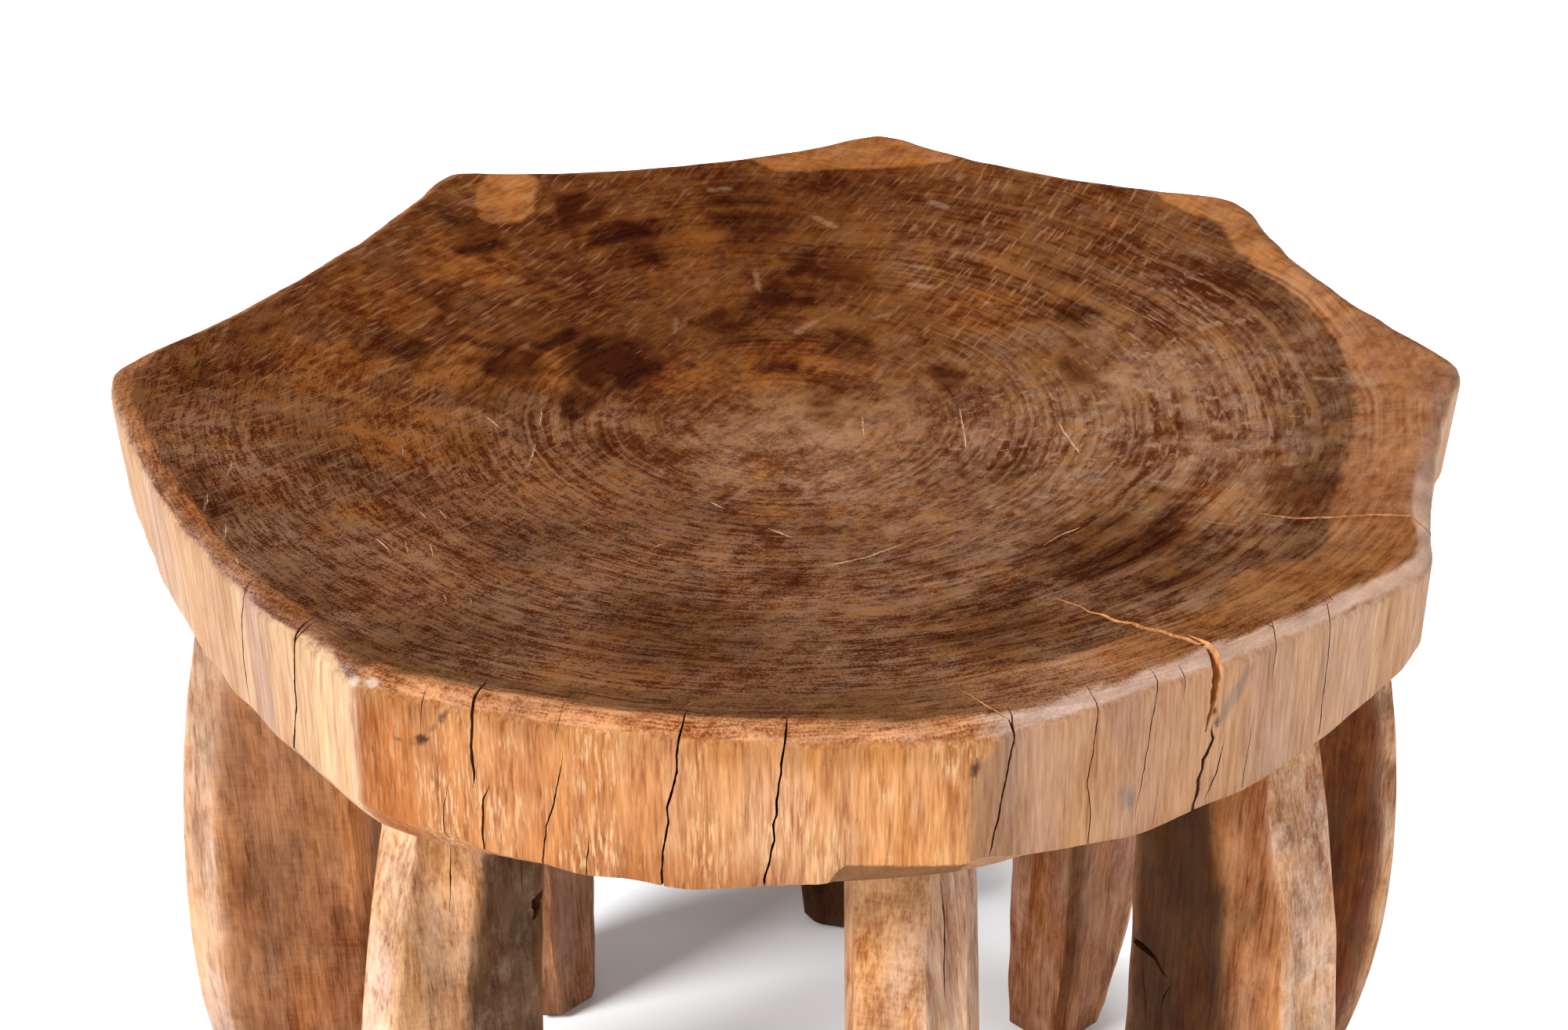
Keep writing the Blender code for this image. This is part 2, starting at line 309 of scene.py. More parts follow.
def cyclic_curve(knots, values, at):
    """A smooth curve through values given round the circle, without overshoot."""
    x = np.concatenate((knots[-3:] - TURN, knots, knots[:3] + TURN))
    y = np.concatenate((values[-3:], values, values[:3]))
    gap = np.diff(x)
    slope = np.diff(y) / gap
    before, after = slope[:-1], slope[1:]
    first = 2 * gap[1:] + gap[:-1]
    last = gap[1:] + 2 * gap[:-1]
    same = before * after > 0
    safe_before = np.where(same, before, 1)
    safe_after = np.where(same, after, 1)
    inner = np.where(same, (first + last) / (first / safe_before + last / safe_after), 0)
    return curve_through(x, y, np.concatenate(((0,), inner, (0,))), at)


def mesh_points(mesh):
    points = np.empty(len(mesh.vertices) * 3)
    mesh.vertices.foreach_get("co", points)
    return points.reshape(-1, 3)


def node_points(name):
    """The different corner points of a CAD node."""
    return np.unique(mesh_points(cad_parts[name].data).round(6), axis=0)


def linked(name, mesh, materials):
    """A new object of the scene with this mesh and these materials."""
    for material in materials:
        mesh.materials.append(material)
    made = bpy.data.objects.new(name, mesh)
    bpy.context.scene.collection.objects.link(made)
    return made


def new_piece(name, points, faces, *materials):
    mesh = bpy.data.meshes.new(name)
    mesh.from_pydata([tuple(point) for point in points], [], faces)
    return linked(name, mesh, materials)


def ring_faces(first, first_count, second, second_count):
    """Faces between two rings of points, of which one may have half as many columns."""
    faces = []
    count = min(first_count, second_count)
    for i in range(count):
        after = (i + 1) % count
        if first_count == second_count:
            faces.append((first + i, first + after, second + after, second + i))
        elif first_count > second_count:
            left, middle, right = first + 2 * i, first + 2 * i + 1, first + 2 * after
            faces += [(left, middle, second + i), (middle, right, second + after, second + i)]
        else:
            left, middle, right = second + 2 * i, second + 2 * i + 1, second + 2 * after
            faces += [(first + i, middle, left), (first + i, first + after, right, middle)]
    return faces


# Seat: the CAD's own rings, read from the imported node

seat_points = node_points("seat")
SEAT_LOW = seat_points[:, 2].min()
SEAT_TOP = seat_points[:, 2].max()
inner_ring = seat_points[np.hypot(seat_points[:, 0], seat_points[:, 1]) < INNER_RING_LIMIT]
CENTRE = inner_ring.mean(axis=0)
DISH_FLOOR = inner_ring[:, 2].min()
PITH = CENTRE[:2] + PITH_SHIFT
MORTISE_TOP = SEAT_LOW + TENON_LENGTH + JOINT_CLEARANCE


def polar(points):
    """Bearing of 0 to one turn and reach of points about the seat's centre."""
    away = np.asarray(points)[:, :2] - CENTRE[:2]
    return np.arctan2(away[:, 1], away[:, 0]) % TURN, np.hypot(away[:, 0], away[:, 1])


def seat_curves():
    """Bearings of the CAD's rim corners, with the rim's, the foot's and the underside's places there."""
    bearing, reach = polar(seat_points)
    height = seat_points[:, 2]
    on_rim = np.abs(height - (SEAT_TOP - ARRIS)) < TOUCH
    order = np.argsort(bearing[on_rim])
    knots = bearing[on_rim][order]
    rim = reach[on_rim][order]
    foot, foot_height, low = [], [], []
    for knot in knots:
        off = np.abs((bearing - knot + math.pi) % TURN - math.pi) < math.radians(0.3)
        side = off & (height > SEAT_LOW + 0.5 * MM) & (height < SEAT_TOP - 2 * ARRIS)
        under = off & (height < SEAT_LOW + TOUCH)
        best = np.argmax(np.where(side, reach, 0))
        foot.append(reach[best])
        foot_height.append(height[best])
        low.append(np.where(under, reach, 0).max())
    return knots, (rim, np.array(foot), np.array(foot_height), np.array(low))


rim_knots, rim_tables = seat_curves()


def seat_shape():
    """Rings of points with their kinds, from the middle of the underside over the rim to the dish."""
    at = TURN * np.arange(COLUMNS) / COLUMNS
    rim, foot, foot_height, low = [cyclic_curve(rim_knots, table, at) for table in rim_tables]
    round_shape = np.stack((np.cos(at), np.sin(at)), axis=1)
    at_foot = np.concatenate((round_shape * foot[:, None], foot_height[:, None]), axis=1)
    foot_height = foot_height + FOOT_WOBBLE * waves(*FOOT_RIPPLE)(at_foot)
    at_rim = np.concatenate((round_shape * rim[:, None], np.full((COLUMNS, 1), SEAT_TOP)), axis=1)
    land = LAND + ARRIS_WOBBLE * waves(*ARRIS_RIPPLE)(at_rim) + ARRIS_WOBBLE * waves(*ARRIS_DRIFT)(at_rim)
    drop = ARRIS + 0.5 * ARRIS_WOBBLE * waves(*DROP_DRIFT)(at_rim)
    rows = []

    def add_row(reach, height, kind, step=1):
        row = np.empty((COLUMNS, 3))
        row[:, :2] = CENTRE[:2] + round_shape * reach[:, None]
        row[:, 2] = height
        rows.append((row[::step], kind))

    for share in UNDER_SHARES:
        step = 2 ** sum(share < limit for limit in UNDER_HALVING_SHARES)
        add_row(low * share, SEAT_LOW, UNDERSIDE, step)
    for i in range(1, CHAMFER_ROWS + 1):
        share = i / CHAMFER_ROWS
        add_row(low + (foot - low) * share, SEAT_LOW + (foot_height - SEAT_LOW) * share, CHAMFER)
    for i in range(1, WALL_ROWS + 1):
        share = i / WALL_ROWS
        add_row(foot + (rim - foot) * share, foot_height + (SEAT_TOP - drop - foot_height) * share, WALL)
    for i in range(1, ARRIS_ROWS + 1):
        turn = TURN / 4 * i / ARRIS_ROWS
        add_row(rim - land * (1 - math.cos(turn)), SEAT_TOP - drop * (1 - math.sin(turn)), EDGE)
    edge = rim - land
    mean_edge = (rim - LAND).mean()
    inner_reach = polar(inner_ring)[1].mean()
    dish_depth = (SEAT_TOP - DISH_FLOOR) / (1 - (inner_reach / mean_edge) ** 2)
    steps = int(mean_edge / DISH_STEP)
    for i in range(steps - 1, 0, -1):
        share = i / steps
        reach = share * (mean_edge + (edge - mean_edge) * share * share)
        step = 2 ** sum(share * mean_edge < limit for limit in HALVING_REACHES)
        add_row(reach, SEAT_TOP - dish_depth * (1 - share * share), DISH, step)
    return rows


def seat_mesh():
    """The seat's points and faces."""
    rows = seat_shape()
    starts = np.concatenate(((0,), np.cumsum([len(row) for row, kind in rows])))
    faces = []
    for i in range(len(rows) - 1):
        faces += ring_faces(int(starts[i]), len(rows[i][0]), int(starts[i + 1]), len(rows[i + 1][0]))
    points = np.concatenate([row for row, kind in rows])
    kinds = np.concatenate([np.full(len(row), kind) for row, kind in rows])
    faces.append(tuple(range(len(rows[0][0]) - 1, -1, -1)))
    last = int(starts[-2])
    faces.append(tuple(range(last, last + len(rows[-1][0]))))
    return worn_seat(points, kinds), faces


def undercut_height(bearing):
    """Upper edge of the shaved facet below the front point, under the floor elsewhere."""
    degrees = np.degrees(bearing)
    rising = SEAT_LOW + SHAVED_HEIGHT * smooth(*SHAVED_RISE, degrees)
    rising = rising - SHAVED_FALL * np.maximum(degrees - V1_BEARING, 0)
    return np.where((degrees > SHAVED_SPAN[0]) & (degrees < SHAVED_SPAN[1]), rising, 0)


def worn_seat(points, kinds):
    """The seat's surfaces, moved by hand work and wear."""
    bearing, _ = polar(points)
    outward = np.stack((np.cos(bearing), np.sin(bearing), np.zeros(len(points))), axis=1)
    moved = points.copy()
    height = points[:, 2]
    on_wall = smooth(SEAT_LOW - 1 * MM, SEAT_LOW + 9 * MM, height) * (kinds >= CHAMFER) * (kinds <= EDGE)
    shift = WALL_WOBBLE * waves(*WALL_RIPPLE)(points * (1, 1, 0.3))
    shift += WALL_FIBRE * waves(*WALL_FIBRES)(points * (1, 1, 0.06))
    below = undercut_height(bearing) - height
    shift -= SHAVED_RUN * np.clip(below, 0, 11 * MM) * (kinds < EDGE)
    for crease in CREASES:
        off = np.abs((np.degrees(bearing) - crease + 180) % 360 - 180)
        shift += CREASE_HEIGHT * np.clip(1 - off / CREASE_SPREAD, 0, 1)
    moved += outward * (shift * on_wall)[:, None]
    middle = (kinds == DISH) * smooth(0, 12 * MM, SEAT_TOP - height + 1.5 * MM)
    moved[:, 2] += middle * DISH_WOBBLE * waves(*DISH_DRIFT)(points)
    centres = scoop_centres()
    tree = KDTree(len(centres))
    for i, centre in enumerate(centres):
        tree.insert((centre[0], centre[1], 0), i)
    tree.balance()
    for i in np.nonzero(kinds == DISH)[0]:
        near = tree.find((points[i][0], points[i][1], 0))[2] / (0.75 * SCOOP_PITCH)
        moved[i, 2] -= SCOOP_DEPTH * max(0.0, 1 - near * near)
    return moved


def scoop_centres():
    """Middles of the shallow tool strokes in the dish."""
    draw = np.random.default_rng(SCOOP_SEED)
    count = int(SCOOPED_REACH / SCOOP_PITCH) + 1
    centres = []
    for i in range(-count, count + 1):
        for j in range(-count, count + 1):
            place = np.array((i + 0.5 * (j % 2), 0.87 * j)) * SCOOP_PITCH
            place += draw.uniform(-0.38, 0.38, 2) * SCOOP_PITCH
            if np.hypot(*place) < SCOOPED_REACH:
                centres.append(place + CENTRE[:2])
    return centres


# Places given by a pixel of the photograph, cast on to the surface that carries them

def pixel_ray(x, y):
    focal = LENS / SENSOR_WIDTH * PHOTO_SIZE[0]
    way = Vector(((x - PHOTO_SIZE[0] / 2) / focal, (PHOTO_SIZE[1] / 2 - y) / focal, -1))
    way.rotate(CAMERA_TURN)
    return way.normalized()


def cast(tree, pixels):
    """Points and normals where a line of pixels falls on a surface, at least every few pixels."""
    found = []
    for (x0, y0), (x1, y1) in zip(pixels, pixels[1:]):
        count = max(1, int(math.hypot(x1 - x0, y1 - y0) / CAST_STEP))
        for i in range(count + 1):
            share = i / count
            hit = tree.ray_cast(CAMERA_PLACE, pixel_ray(x0 + (x1 - x0) * share, y0 + (y1 - y0) * share))
            if hit[0] is not None:
                found.append((hit[0], hit[1]))
    return found


def cast_place(tree, pixel):
    hit = tree.ray_cast(CAMERA_PLACE, pixel_ray(*pixel))
    return None if hit[0] is None else np.array(hit[0])


def rim_place(tree, pixel):
    """The same, but on the level of the rim where the pixel is beside the seat."""
    place = cast_place(tree, pixel)
    if place is None:
        ray = pixel_ray(*pixel)
        place = np.array(CAMERA_PLACE + ray * ((SEAT_TOP - CAMERA_PLACE.z) / ray.z))
    return place


def resampled(found, step):
    """The same line in even steps."""
    line = [found[0]]
    gone = 0.0
    for (start, start_normal), (end, end_normal) in zip(found, found[1:]):
        length = (end - start).length
        while length > 1e-9 and gone + length >= step:
            share = (step - gone) / length
            start = start.lerp(end, share)
            line.append((start, start_normal.lerp(end_normal, share).normalized()))
            length = (end - start).length
            gone = 0.0
        gone += length
    return line


def add_blade(shape, line, inward, width, depth, tapers, seed, wood, lean=0.0):
    """A thin wedge along a line, to be cut out of a surface. Its slopes take the crack wood of that number."""
    draw = np.random.default_rng(seed)
    count = len(line)
    sections = []
    drift = 0.0
    for i, (place, normal) in enumerate(line):
        before = line[max(i - 1, 0)][0]
        after = line[min(i + 1, count - 1)][0]
        along = (after - before).normalized()
        side = along.cross(normal).normalized()
        way = inward(place, normal)
        drift = 0.6 * drift + draw.uniform(-BLADE_DRIFT, BLADE_DRIFT) * MM
        open_share = 1.0
        for taper, steps in zip(tapers, (i, count - 1 - i)):
            if taper:
                open_share = min(open_share, (steps + 0.3) / taper)
        half = 0.5 * width * (0.12 + 0.88 * open_share) * draw.uniform(0.75, 1.2)
        deep = depth * (0.25 + 0.75 * open_share)
        spread = half * (1 + BLADE_LIFT / deep)
        middle = place + side * drift
        sections.append((
            shape.verts.new(middle - side * spread + normal * BLADE_LIFT),
            shape.verts.new(middle + side * spread + normal * BLADE_LIFT),
            shape.verts.new(middle + way * deep + side * lean * deep),
        ))
    faces = [shape.faces.new(sections[0]), shape.faces.new(tuple(reversed(sections[-1])))]
    for first, second in zip(sections, sections[1:]):
        for i in range(3):
            after = (i + 1) % 3
            faces.append(shape.faces.new((first[i], second[i], second[after], first[after])))
    for face in faces:
        face.material_index = wood


def straight_down(place, normal):
    return Vector((0, 0, -1))


def to_the_axis(place, normal):
    away = Vector((CENTRE[0] - place.x, CENTRE[1] - place.y, 0))
    return away.normalized()


def against(place, normal):
    return -normal


def cutter_from(shape, name, materials):
    bmesh.ops.recalc_face_normals(shape, faces=shape.faces)
    mesh = bpy.data.meshes.new(name)
    shape.to_mesh(mesh)
    shape.free()
    return linked(name, mesh, materials)


def cut(piece, cutters):
    """Takes the cutters out of the piece for good."""
    for cutter in cutters:
        change = piece.modifiers.new(cutter.name, "BOOLEAN")
        change.operation = "DIFFERENCE"
        change.solver = "EXACT"
        change.material_mode = "TRANSFER"
        change.object = cutter
    bpy.context.view_layer.update()
    graph = bpy.context.evaluated_depsgraph_get()
    result = bpy.data.meshes.new_from_object(piece.evaluated_get(graph))
    piece.modifiers.clear()
    piece.data = result
    for cutter in cutters:
        bpy.data.objects.remove(cutter, do_unlink=True)


CRACK_SHARE = 0.7

# How far cracks that don't close run on over the arris (up and inwards) and under the foot, in mm
CRACK_RISE = (3, 2)
OPEN_CRACK_RISE = (4, 3)
CRACK_DROPS = (2.5, 5)

# Drying cracks of the seat, as pixels of the photograph, with width and depth in mm and the two counts of
# steps over which the ends close. Those of the top name the wood inside them as well, and the rest take the dark crack
# wood, which is partly painted shade.
WALL_CRACKS = (
    (((313, 749), (309, 790), (310, 835), (315, 872), (321, 905)), 0.8, 5, (0, 6)),
    (((377, 813), (376, 870), (379, 900), (376, 929), (374, 972)), 1.1, 9, (0, 0)),
    (((402, 829), (399, 874)), 0.35, 3, (0, 10)),
    (((540, 885), (537, 902), (535, 936)), 0.4, 3, (0, 5)),
    (((606, 885), (602, 896), (601, 961), (605, 990), (602, 1006)), 1.25, 9, (0, 4)),
    (((624, 1002), (616, 1020), (615, 1060), (618, 1083)), 0.9, 7, (4, 0)),
    (((573, 993), (566, 1028), (565, 1056), (567, 1064)), 0.5, 4, (6, 0)),
    (((717, 897), (714, 908), (706, 948)), 0.45, 4, (0, 6)),
    (((718, 961), (708, 1016), (697, 1054), (691, 1098)), 0.6, 5, (6, 0)),
    (((752, 1062), (748, 1104)), 0.5, 4, (4, 0)),
    (((876, 890), (870, 930), (862, 963), (864, 985), (852, 1030), (854, 1051), (845, 1085), (843, 1118)),
     0.85, 7, (0, 0)),
    (((1004, 914), (1002, 942), (995, 998), (990, 1024), (991, 1038), (986, 1052), (989, 1068), (981, 1102),
      (977, 1116), (972, 1128)), 0.9, 7, (0, 0)),
    (((1293, 921), (1292, 948), (1281, 998), (1278, 1012), (1271, 1049), (1265, 1083), (1260, 1094)), 0.8, 7, (0, 3)),
    (((1392, 886), (1400, 904), (1395, 953), (1386, 999), (1390, 1032), (1387, 1076)), 0.5, 4, (0, 0)),
    (((1478, 872), (1468, 927), (1460, 973), (1446, 1044)), 0.5, 4, (0, 6)),
    (((1478, 999), (1469, 1055)), 0.4, 3, (6, 2)),
    (((1512, 868), (1508, 897)), 0.4, 3, (0, 5)),
    (((1547, 925), (1545, 935), (1548, 941), (1541, 958), (1535, 969), (1534, 981), (1529, 994), (1527, 1009),
      (1520, 1031)), 1.7, 9, (3, 0)),
    (((1564, 935), (1557, 963), (1552, 986), (1544, 1004), (1534, 1024)), 0.65, 5, (6, 2)),
    (((1631, 790), (1628, 820), (1621, 889)), 0.5, 4, (0, 8)),
    (((1600, 907), (1593, 950), (1586, 986)), 0.45, 4, (6, 0)),
    (((1700, 765), (1697, 820), (1684, 925)), 0.55, 5, (0, 0)),
)
TOP_CRACKS = (
    (((404, 791), (377, 813)), 1.0, 5, (6, 0), OLD_WOOD_AND_SHADE),
    (((623, 866), (602, 892)), 1.0, 6, (6, 0), OLD_WOOD_AND_SHADE),
    (((1222, 878), (1262, 903), (1288, 918), (1295, 942)), 0.9, 5, (10, 0), FRESH),
    (((1605, 655), (1650, 661), (1700, 660), (1750, 656), (1800, 658), (1824, 680)), 1.6, 4, (10, 0), FRESH),
    (((1523, 662), (1556, 668), (1590, 670)), 0.9, 3, (8, 8), FRESH),
    (((1760, 523), (1830, 517)), 0.5, 2, (8, 4), FRESH),
    (((1745, 555), (1820, 553)), 0.5, 2, (8, 4), FRESH),
    (((1600, 788), (1625, 800)), 0.6, 3, (5, 0), OLD_WOOD_AND_SHADE),
    (((1693, 757), (1702, 768)), 0.6, 3, (5, 0), OLD_WOOD_AND_SHADE),
)

# The one wide crack, from the top over the arris and down the wall, with each part's lean as well
OPEN_CRACK_TOP = ((
    (1346, 763), (1376, 772), (1390, 781), (1407, 784), (1426, 793), (1445, 795), (1462, 802), (1484, 805),
    (1498, 811), (1514, 814), (1526, 821), (1537, 822), (1550, 832),
), 1.7, 7, (22, 0), 0.15)
OPEN_CRACK_WALL = (((1551, 833), (1553, 858), (1547, 896), (1536, 940)), 2.9, 15, (0, 9), -0.12)

# Short pale cuts left by the blade, as pixels of the photograph
NICKS = (
    ((296, 588), (290, 604), (284, 612)), ((264, 630), (262, 645), (258, 656)), ((288, 668), (286, 684), (278, 698)),
    ((344, 622), (330, 634)), ((300, 710), (304, 726)), ((478, 686), (492, 698), (496, 706)), ((516, 690), (520, 708)),
    ((548, 694), (552, 712)), ((566, 758), (570, 770)), ((600, 762), (600, 776)), ((534, 652), (546, 664)),
    ((682, 566), (676, 588), (668, 600)), ((618, 530), (640, 548)), ((690, 520), (688, 545)), ((512, 570), (514, 584)),
    ((560, 650), (570, 664)), ((1052, 722), (1078, 717), (1104, 711), (1130, 702), (1158, 691)),
    ((1330, 696), (1352, 683), (1380, 672)), ((1224, 520), (1228, 548), (1232, 574)),
    ((1350, 540), (1364, 562), (1378, 580)), ((1099, 530), (1101, 558)), ((980, 674), (1012, 686)),
    ((1268, 655), (1280, 640)), ((905, 640), (925, 650)), ((830, 700), (850, 692)), ((740, 812), (750, 800)),
    ((1500, 430), (1490, 442)), ((440, 735), (460, 730)),
)


def raised(line, up, inward):
    """The line with a start above it, where the crack runs on over the arris. Both lengths are in mm."""
    start, normal = line[0]
    rise = Vector((0, 0, up * MM)) + to_the_axis(start, normal) * inward * MM
    return [(start + rise, normal), (start + rise * 0.5, normal)] + line


def crack_blades(tree, materials):
    """Sets of cutters, whose blades don't meet within a set. The mortises are cut with the first."""
    walls, slots, tops, nicks = [bmesh.new() for _ in range(4)]
    for number, (pixels, width, depth, tapers) in enumerate(WALL_CRACKS):
        line = resampled(cast(tree, pixels), WALL_CRACK_STEP)
        if tapers[0] == 0:
            line = raised(line, *CRACK_RISE)
        if tapers[1] == 0:
            end, normal = line[-1]
            line = line + [(end - Vector((0, 0, drop * MM)), normal) for drop in CRACK_DROPS]
        width = CRACK_SHARE * width * MM
        add_blade(walls, line, to_the_axis, width, depth * MM, tapers, WALL_CRACK_SEED + number, OLD_WOOD_AND_SHADE)
    for number, (pixels, width, depth, tapers, wood) in enumerate(TOP_CRACKS):
        line = resampled(cast(tree, pixels), TOP_CRACK_STEP)
        width = CRACK_SHARE * width * MM
        add_blade(tops, line, straight_down, width, depth * MM, tapers, TOP_CRACK_SEED + number, wood)
    for number, pixels in enumerate(NICKS):
        line = resampled(cast(tree, pixels), NICK_STEP)
        if len(line) > 2:
            add_blade(nicks, line, against, NICK_WIDTH, NICK_DEPTH, NICK_TAPERS, NICK_SEED + number, PALE)
    pixels, width, depth, tapers, lean = OPEN_CRACK_TOP
    line = resampled(cast(tree, pixels), WALL_CRACK_STEP)
    add_blade(tops, line, straight_down, width * MM, depth * MM, tapers, OPEN_TOP_SEED, FRESH, lean)
    pixels, width, depth, tapers, lean = OPEN_CRACK_WALL
    line = raised(resampled(cast(tree, pixels), WALL_CRACK_STEP), *OPEN_CRACK_RISE)
    add_blade(slots, line, to_the_axis, width * MM, depth * MM, tapers, OPEN_WALL_SEED, FRESH, lean)
    radius = TENON_RADIUS + JOINT_CLEARANCE
    for axis in tenon_axes.values():
        middle = Matrix.Translation((*axis, (MORTISE_TOP + SEAT_LOW - MORTISE_OVERRUN) / 2))
        bmesh.ops.create_cone(
            walls, cap_ends=True, segments=MORTISE_SIDES, radius1=radius, radius2=radius,
            depth=MORTISE_TOP - SEAT_LOW + MORTISE_OVERRUN, matrix=middle,
        )
    sets = ((walls, "wall_blades"), (slots, "slot_blades"), (tops, "top_blades"), (nicks, "nick_blades"))
    return [cutter_from(shape, name, materials) for shape, name in sets]


def leg_blades(name, tree, materials):
    """The cutters for a leg's cracks, one each."""
    blades = []
    for number, (pixels, width, depth, tapers) in enumerate(LEG_CRACKS[name]):
        line = resampled(cast(tree, pixels), LEG_CRACK_STEP)
        blade = bmesh.new()
        add_blade(blade, line, against, width * MM, depth * MM, tapers, LEG_CRACK_SEED + number, OLD_WOOD_AND_SHADE)
        blades.append(cutter_from(blade, name + "_blade", materials))
    return blades


# Legs

def tenon_axis(name):
    points = node_points(name)
    top = points[points[:, 2] > points[:, 2].max() - TOUCH]
    return tuple(top[:, :2].mean(axis=0))


tenon_axes = {name: tenon_axis(name) for name in LEG_FACINGS}


def leg_levels(name):
    """The CAD leg's sections, each with its corners, from the outer face round."""
    points = node_points(name)
    facing = math.radians(LEG_FACINGS[name])
    axis = tenon_axes[name]
    across = np.array(((math.cos(facing), math.sin(facing)), (-math.sin(facing), math.cos(facing))))
    levels = []
    for height in np.unique(points[:, 2].round(4)):
        ring = points[np.abs(points[:, 2] - height) < LEVEL_TOLERANCE]
        off_axis = np.hypot(ring[:, 0] - axis[0], ring[:, 1] - axis[1])
        if height > SEAT_LOW - 1 * MM:
            ring = ring[off_axis > TENON_RADIUS + 0.5 * MM]
        if len(ring) != FACETS:
            continue
        turned = (ring[:, :2] - ring[:, :2].mean(axis=0)) @ across.T
        front = turned[:, 0].max()
        first = np.argmax(np.where(turned[:, 0] > front - FRONT_TOLERANCE, turned[:, 1], -1))
        angles = np.arctan2(turned[:, 1], turned[:, 0])
        order = np.argsort((angles - angles[first] + 1e-6) % TURN)
        levels.append(ring[order])
    return levels


def leg_paths(name, seed):
    """Heights, and the places of the eight corners at each, on smooth paths between the CAD's levels."""
    table = np.array(leg_levels(name))
    knots = table[:, 0, 2]
    rows = int((knots[-1] - knots[1]) / LEG_STEP)
    heights = np.concatenate(((knots[0],), np.linspace(knots[1], knots[-1], rows + 1)))
    paths = np.empty((len(heights), FACETS, 3))
    for corner in range(FACETS):
        for axis in range(2):
            paths[1:, corner, axis] = open_curve(knots[1:], table[1:, corner, axis], heights[1:])
            paths[0, corner, axis] = table[0, corner, axis]
        paths[:, corner, 2] = heights
    for corner in range(FACETS):
        wobble = waves(seed + corner, EDGE_PERIOD)(np.stack((heights, heights * 0, heights * 0), axis=1))
        wobble *= EDGE_WOBBLE * smooth(0, 10 * MM, heights)
        along = paths[:, (corner + 1) % FACETS] - paths[:, corner - 1]
        along /= np.linalg.norm(along, axis=1)[:, None]
        paths[:, corner] += along * wobble[:, None]
    return heights, paths


def leg_columns(corners):
    """Facet and share across it of each column: one at each corner, one close beside it, and even ones between."""
    columns = []
    for facet in range(FACETS):
        width = np.linalg.norm(corners[(facet + 1) % FACETS] - corners[facet])
        inner = max(1, int(width / LEG_STEP) - 1)
        edge = min(LEG_EDGE / width, 0.3)
        columns += [(facet, share) for share in (0.0, *np.linspace(edge, 1 - edge, inner + 1))]
    return np.array([facet for facet, share in columns]), np.array([share for facet, share in columns])


def hewn(rings, shares, heights, seed):
    """The rings with hewn hollows and raised fibres, which fade out at the edges and the foot."""
    ahead = np.roll(rings, -1, axis=1) - np.roll(rings, 1, axis=1)
    outward = np.stack((ahead[:, :, 1], -ahead[:, :, 0], np.zeros(ahead.shape[:2])), axis=2)
    outward /= np.linalg.norm(outward, axis=2)[:, :, None]
    flat = rings.reshape(-1, 3)
    shift = HEWN_WOBBLE * (waves(seed + FACETS, HEWN_PERIOD)(flat * (1, 1, 0.4)) - 0.6)
    shift += FIBRE_WOBBLE * waves(seed + FACETS + 1, FIBRE_PERIOD)(flat * (1, 1, 0.06))
    fade = smooth(0, 0.18, np.minimum(shares, 1 - shares))
    shift = shift.reshape(rings.shape[:2]) * fade[None, :] * smooth(0, 6 * MM, heights)[:, None]
    return rings + outward * shift[:, :, None]


def tenon_rings(shoulder, axis):
    """Rings of the stub tenon, from the shoulder's last ring up."""
    away = shoulder[:, :2] - axis
    away /= np.linalg.norm(away, axis=1)[:, None]
    rings = []
    for radius, height in (
        (TENON_RADIUS, shoulder[0, 2]),
        (TENON_RADIUS, SEAT_LOW + TENON_LENGTH - TENON_CHAMFER),
        (TENON_RADIUS - TENON_CHAMFER, SEAT_LOW + TENON_LENGTH),
    ):
        rings.append(np.concatenate((axis + away * radius, np.full((len(away), 1), height)), axis=1))
    return np.array(rings)


def leg_shape(name):
    """Points, faces, and facet number and share across it for each point of a leg."""
    seed = LEG_SEED + 10 * list(LEG_FACINGS).index(name)
    heights, paths = leg_paths(name, seed)
    facets, shares = leg_columns(paths[len(heights) // 2])
    count = len(facets)
    rings = paths[:, facets] * (1 - shares)[None, :, None] + paths[:, (facets + 1) % FACETS] * shares[None, :, None]
    corners = np.nonzero(shares == 0)[0]
    chord = (rings[:, corners - 1] + rings[:, (corners + 1) % count]) / 2
    rings[:, corners] = rings[:, corners] * 0.45 + chord * 0.55
    rings = hewn(rings, shares, heights, seed)
    rings = np.concatenate((rings, tenon_rings(rings[-1], np.array(tenon_axes[name]))))
    faces = [tuple(range(count - 1, -1, -1))]
    for row in range(len(rings) - 1):
        faces += ring_faces(row * count, count, (row + 1) * count, count)
    last = (len(rings) - 1) * count
    faces.append(tuple(range(last, last + count)))
    tags = np.stack((np.tile(facets, len(rings)), np.tile(shares, len(rings))), axis=1)
    return rings.reshape(-1, 3), faces, tags


# Facet colours of each leg, from the facet after the outer face round to the outer face
LEG_WOODS = {
    "leg_front": (GREY_TAN, GREY_TAN, BROWN, BROWN, BROWN, BROWN, HONEY, HONEY),
    # The front-right leg's left-facing facet is painted near black
    "leg_front_right": (HONEY, GREY_TAN, BROWN, BROWN, BROWN, NEAR_BLACK_BROWN, ORANGE, TAN),
    "leg_right": (TAN, BROWN, BROWN, BROWN, BROWN, MAHOGANY, MAHOGANY, HONEY),
    "leg_back_right": (TAN, BROWN, BROWN, BROWN, UMBER, BROWN, TAN, TAN),
    # The back leg's front-facing facets are painted near black, as painted shade under the seat
    "leg_back": (TAN, BROWN, BACK_LEG_SHADE, BACK_LEG_SHADE, BACK_LEG_SHADE, BROWN, BROWN, TAN),
    "leg_back_left": (TAN, BROWN, BROWN, BROWN, BROWN, BROWN, TAN, TAN),
    "leg_left": (DRIFT, RUST, ORANGE, BROWN, BROWN, BROWN, TAN, TAN),
    "leg_front_left": (HONEY, OLIVE, UMBER, BROWN, BROWN, BROWN, TAN, SHELL),
}

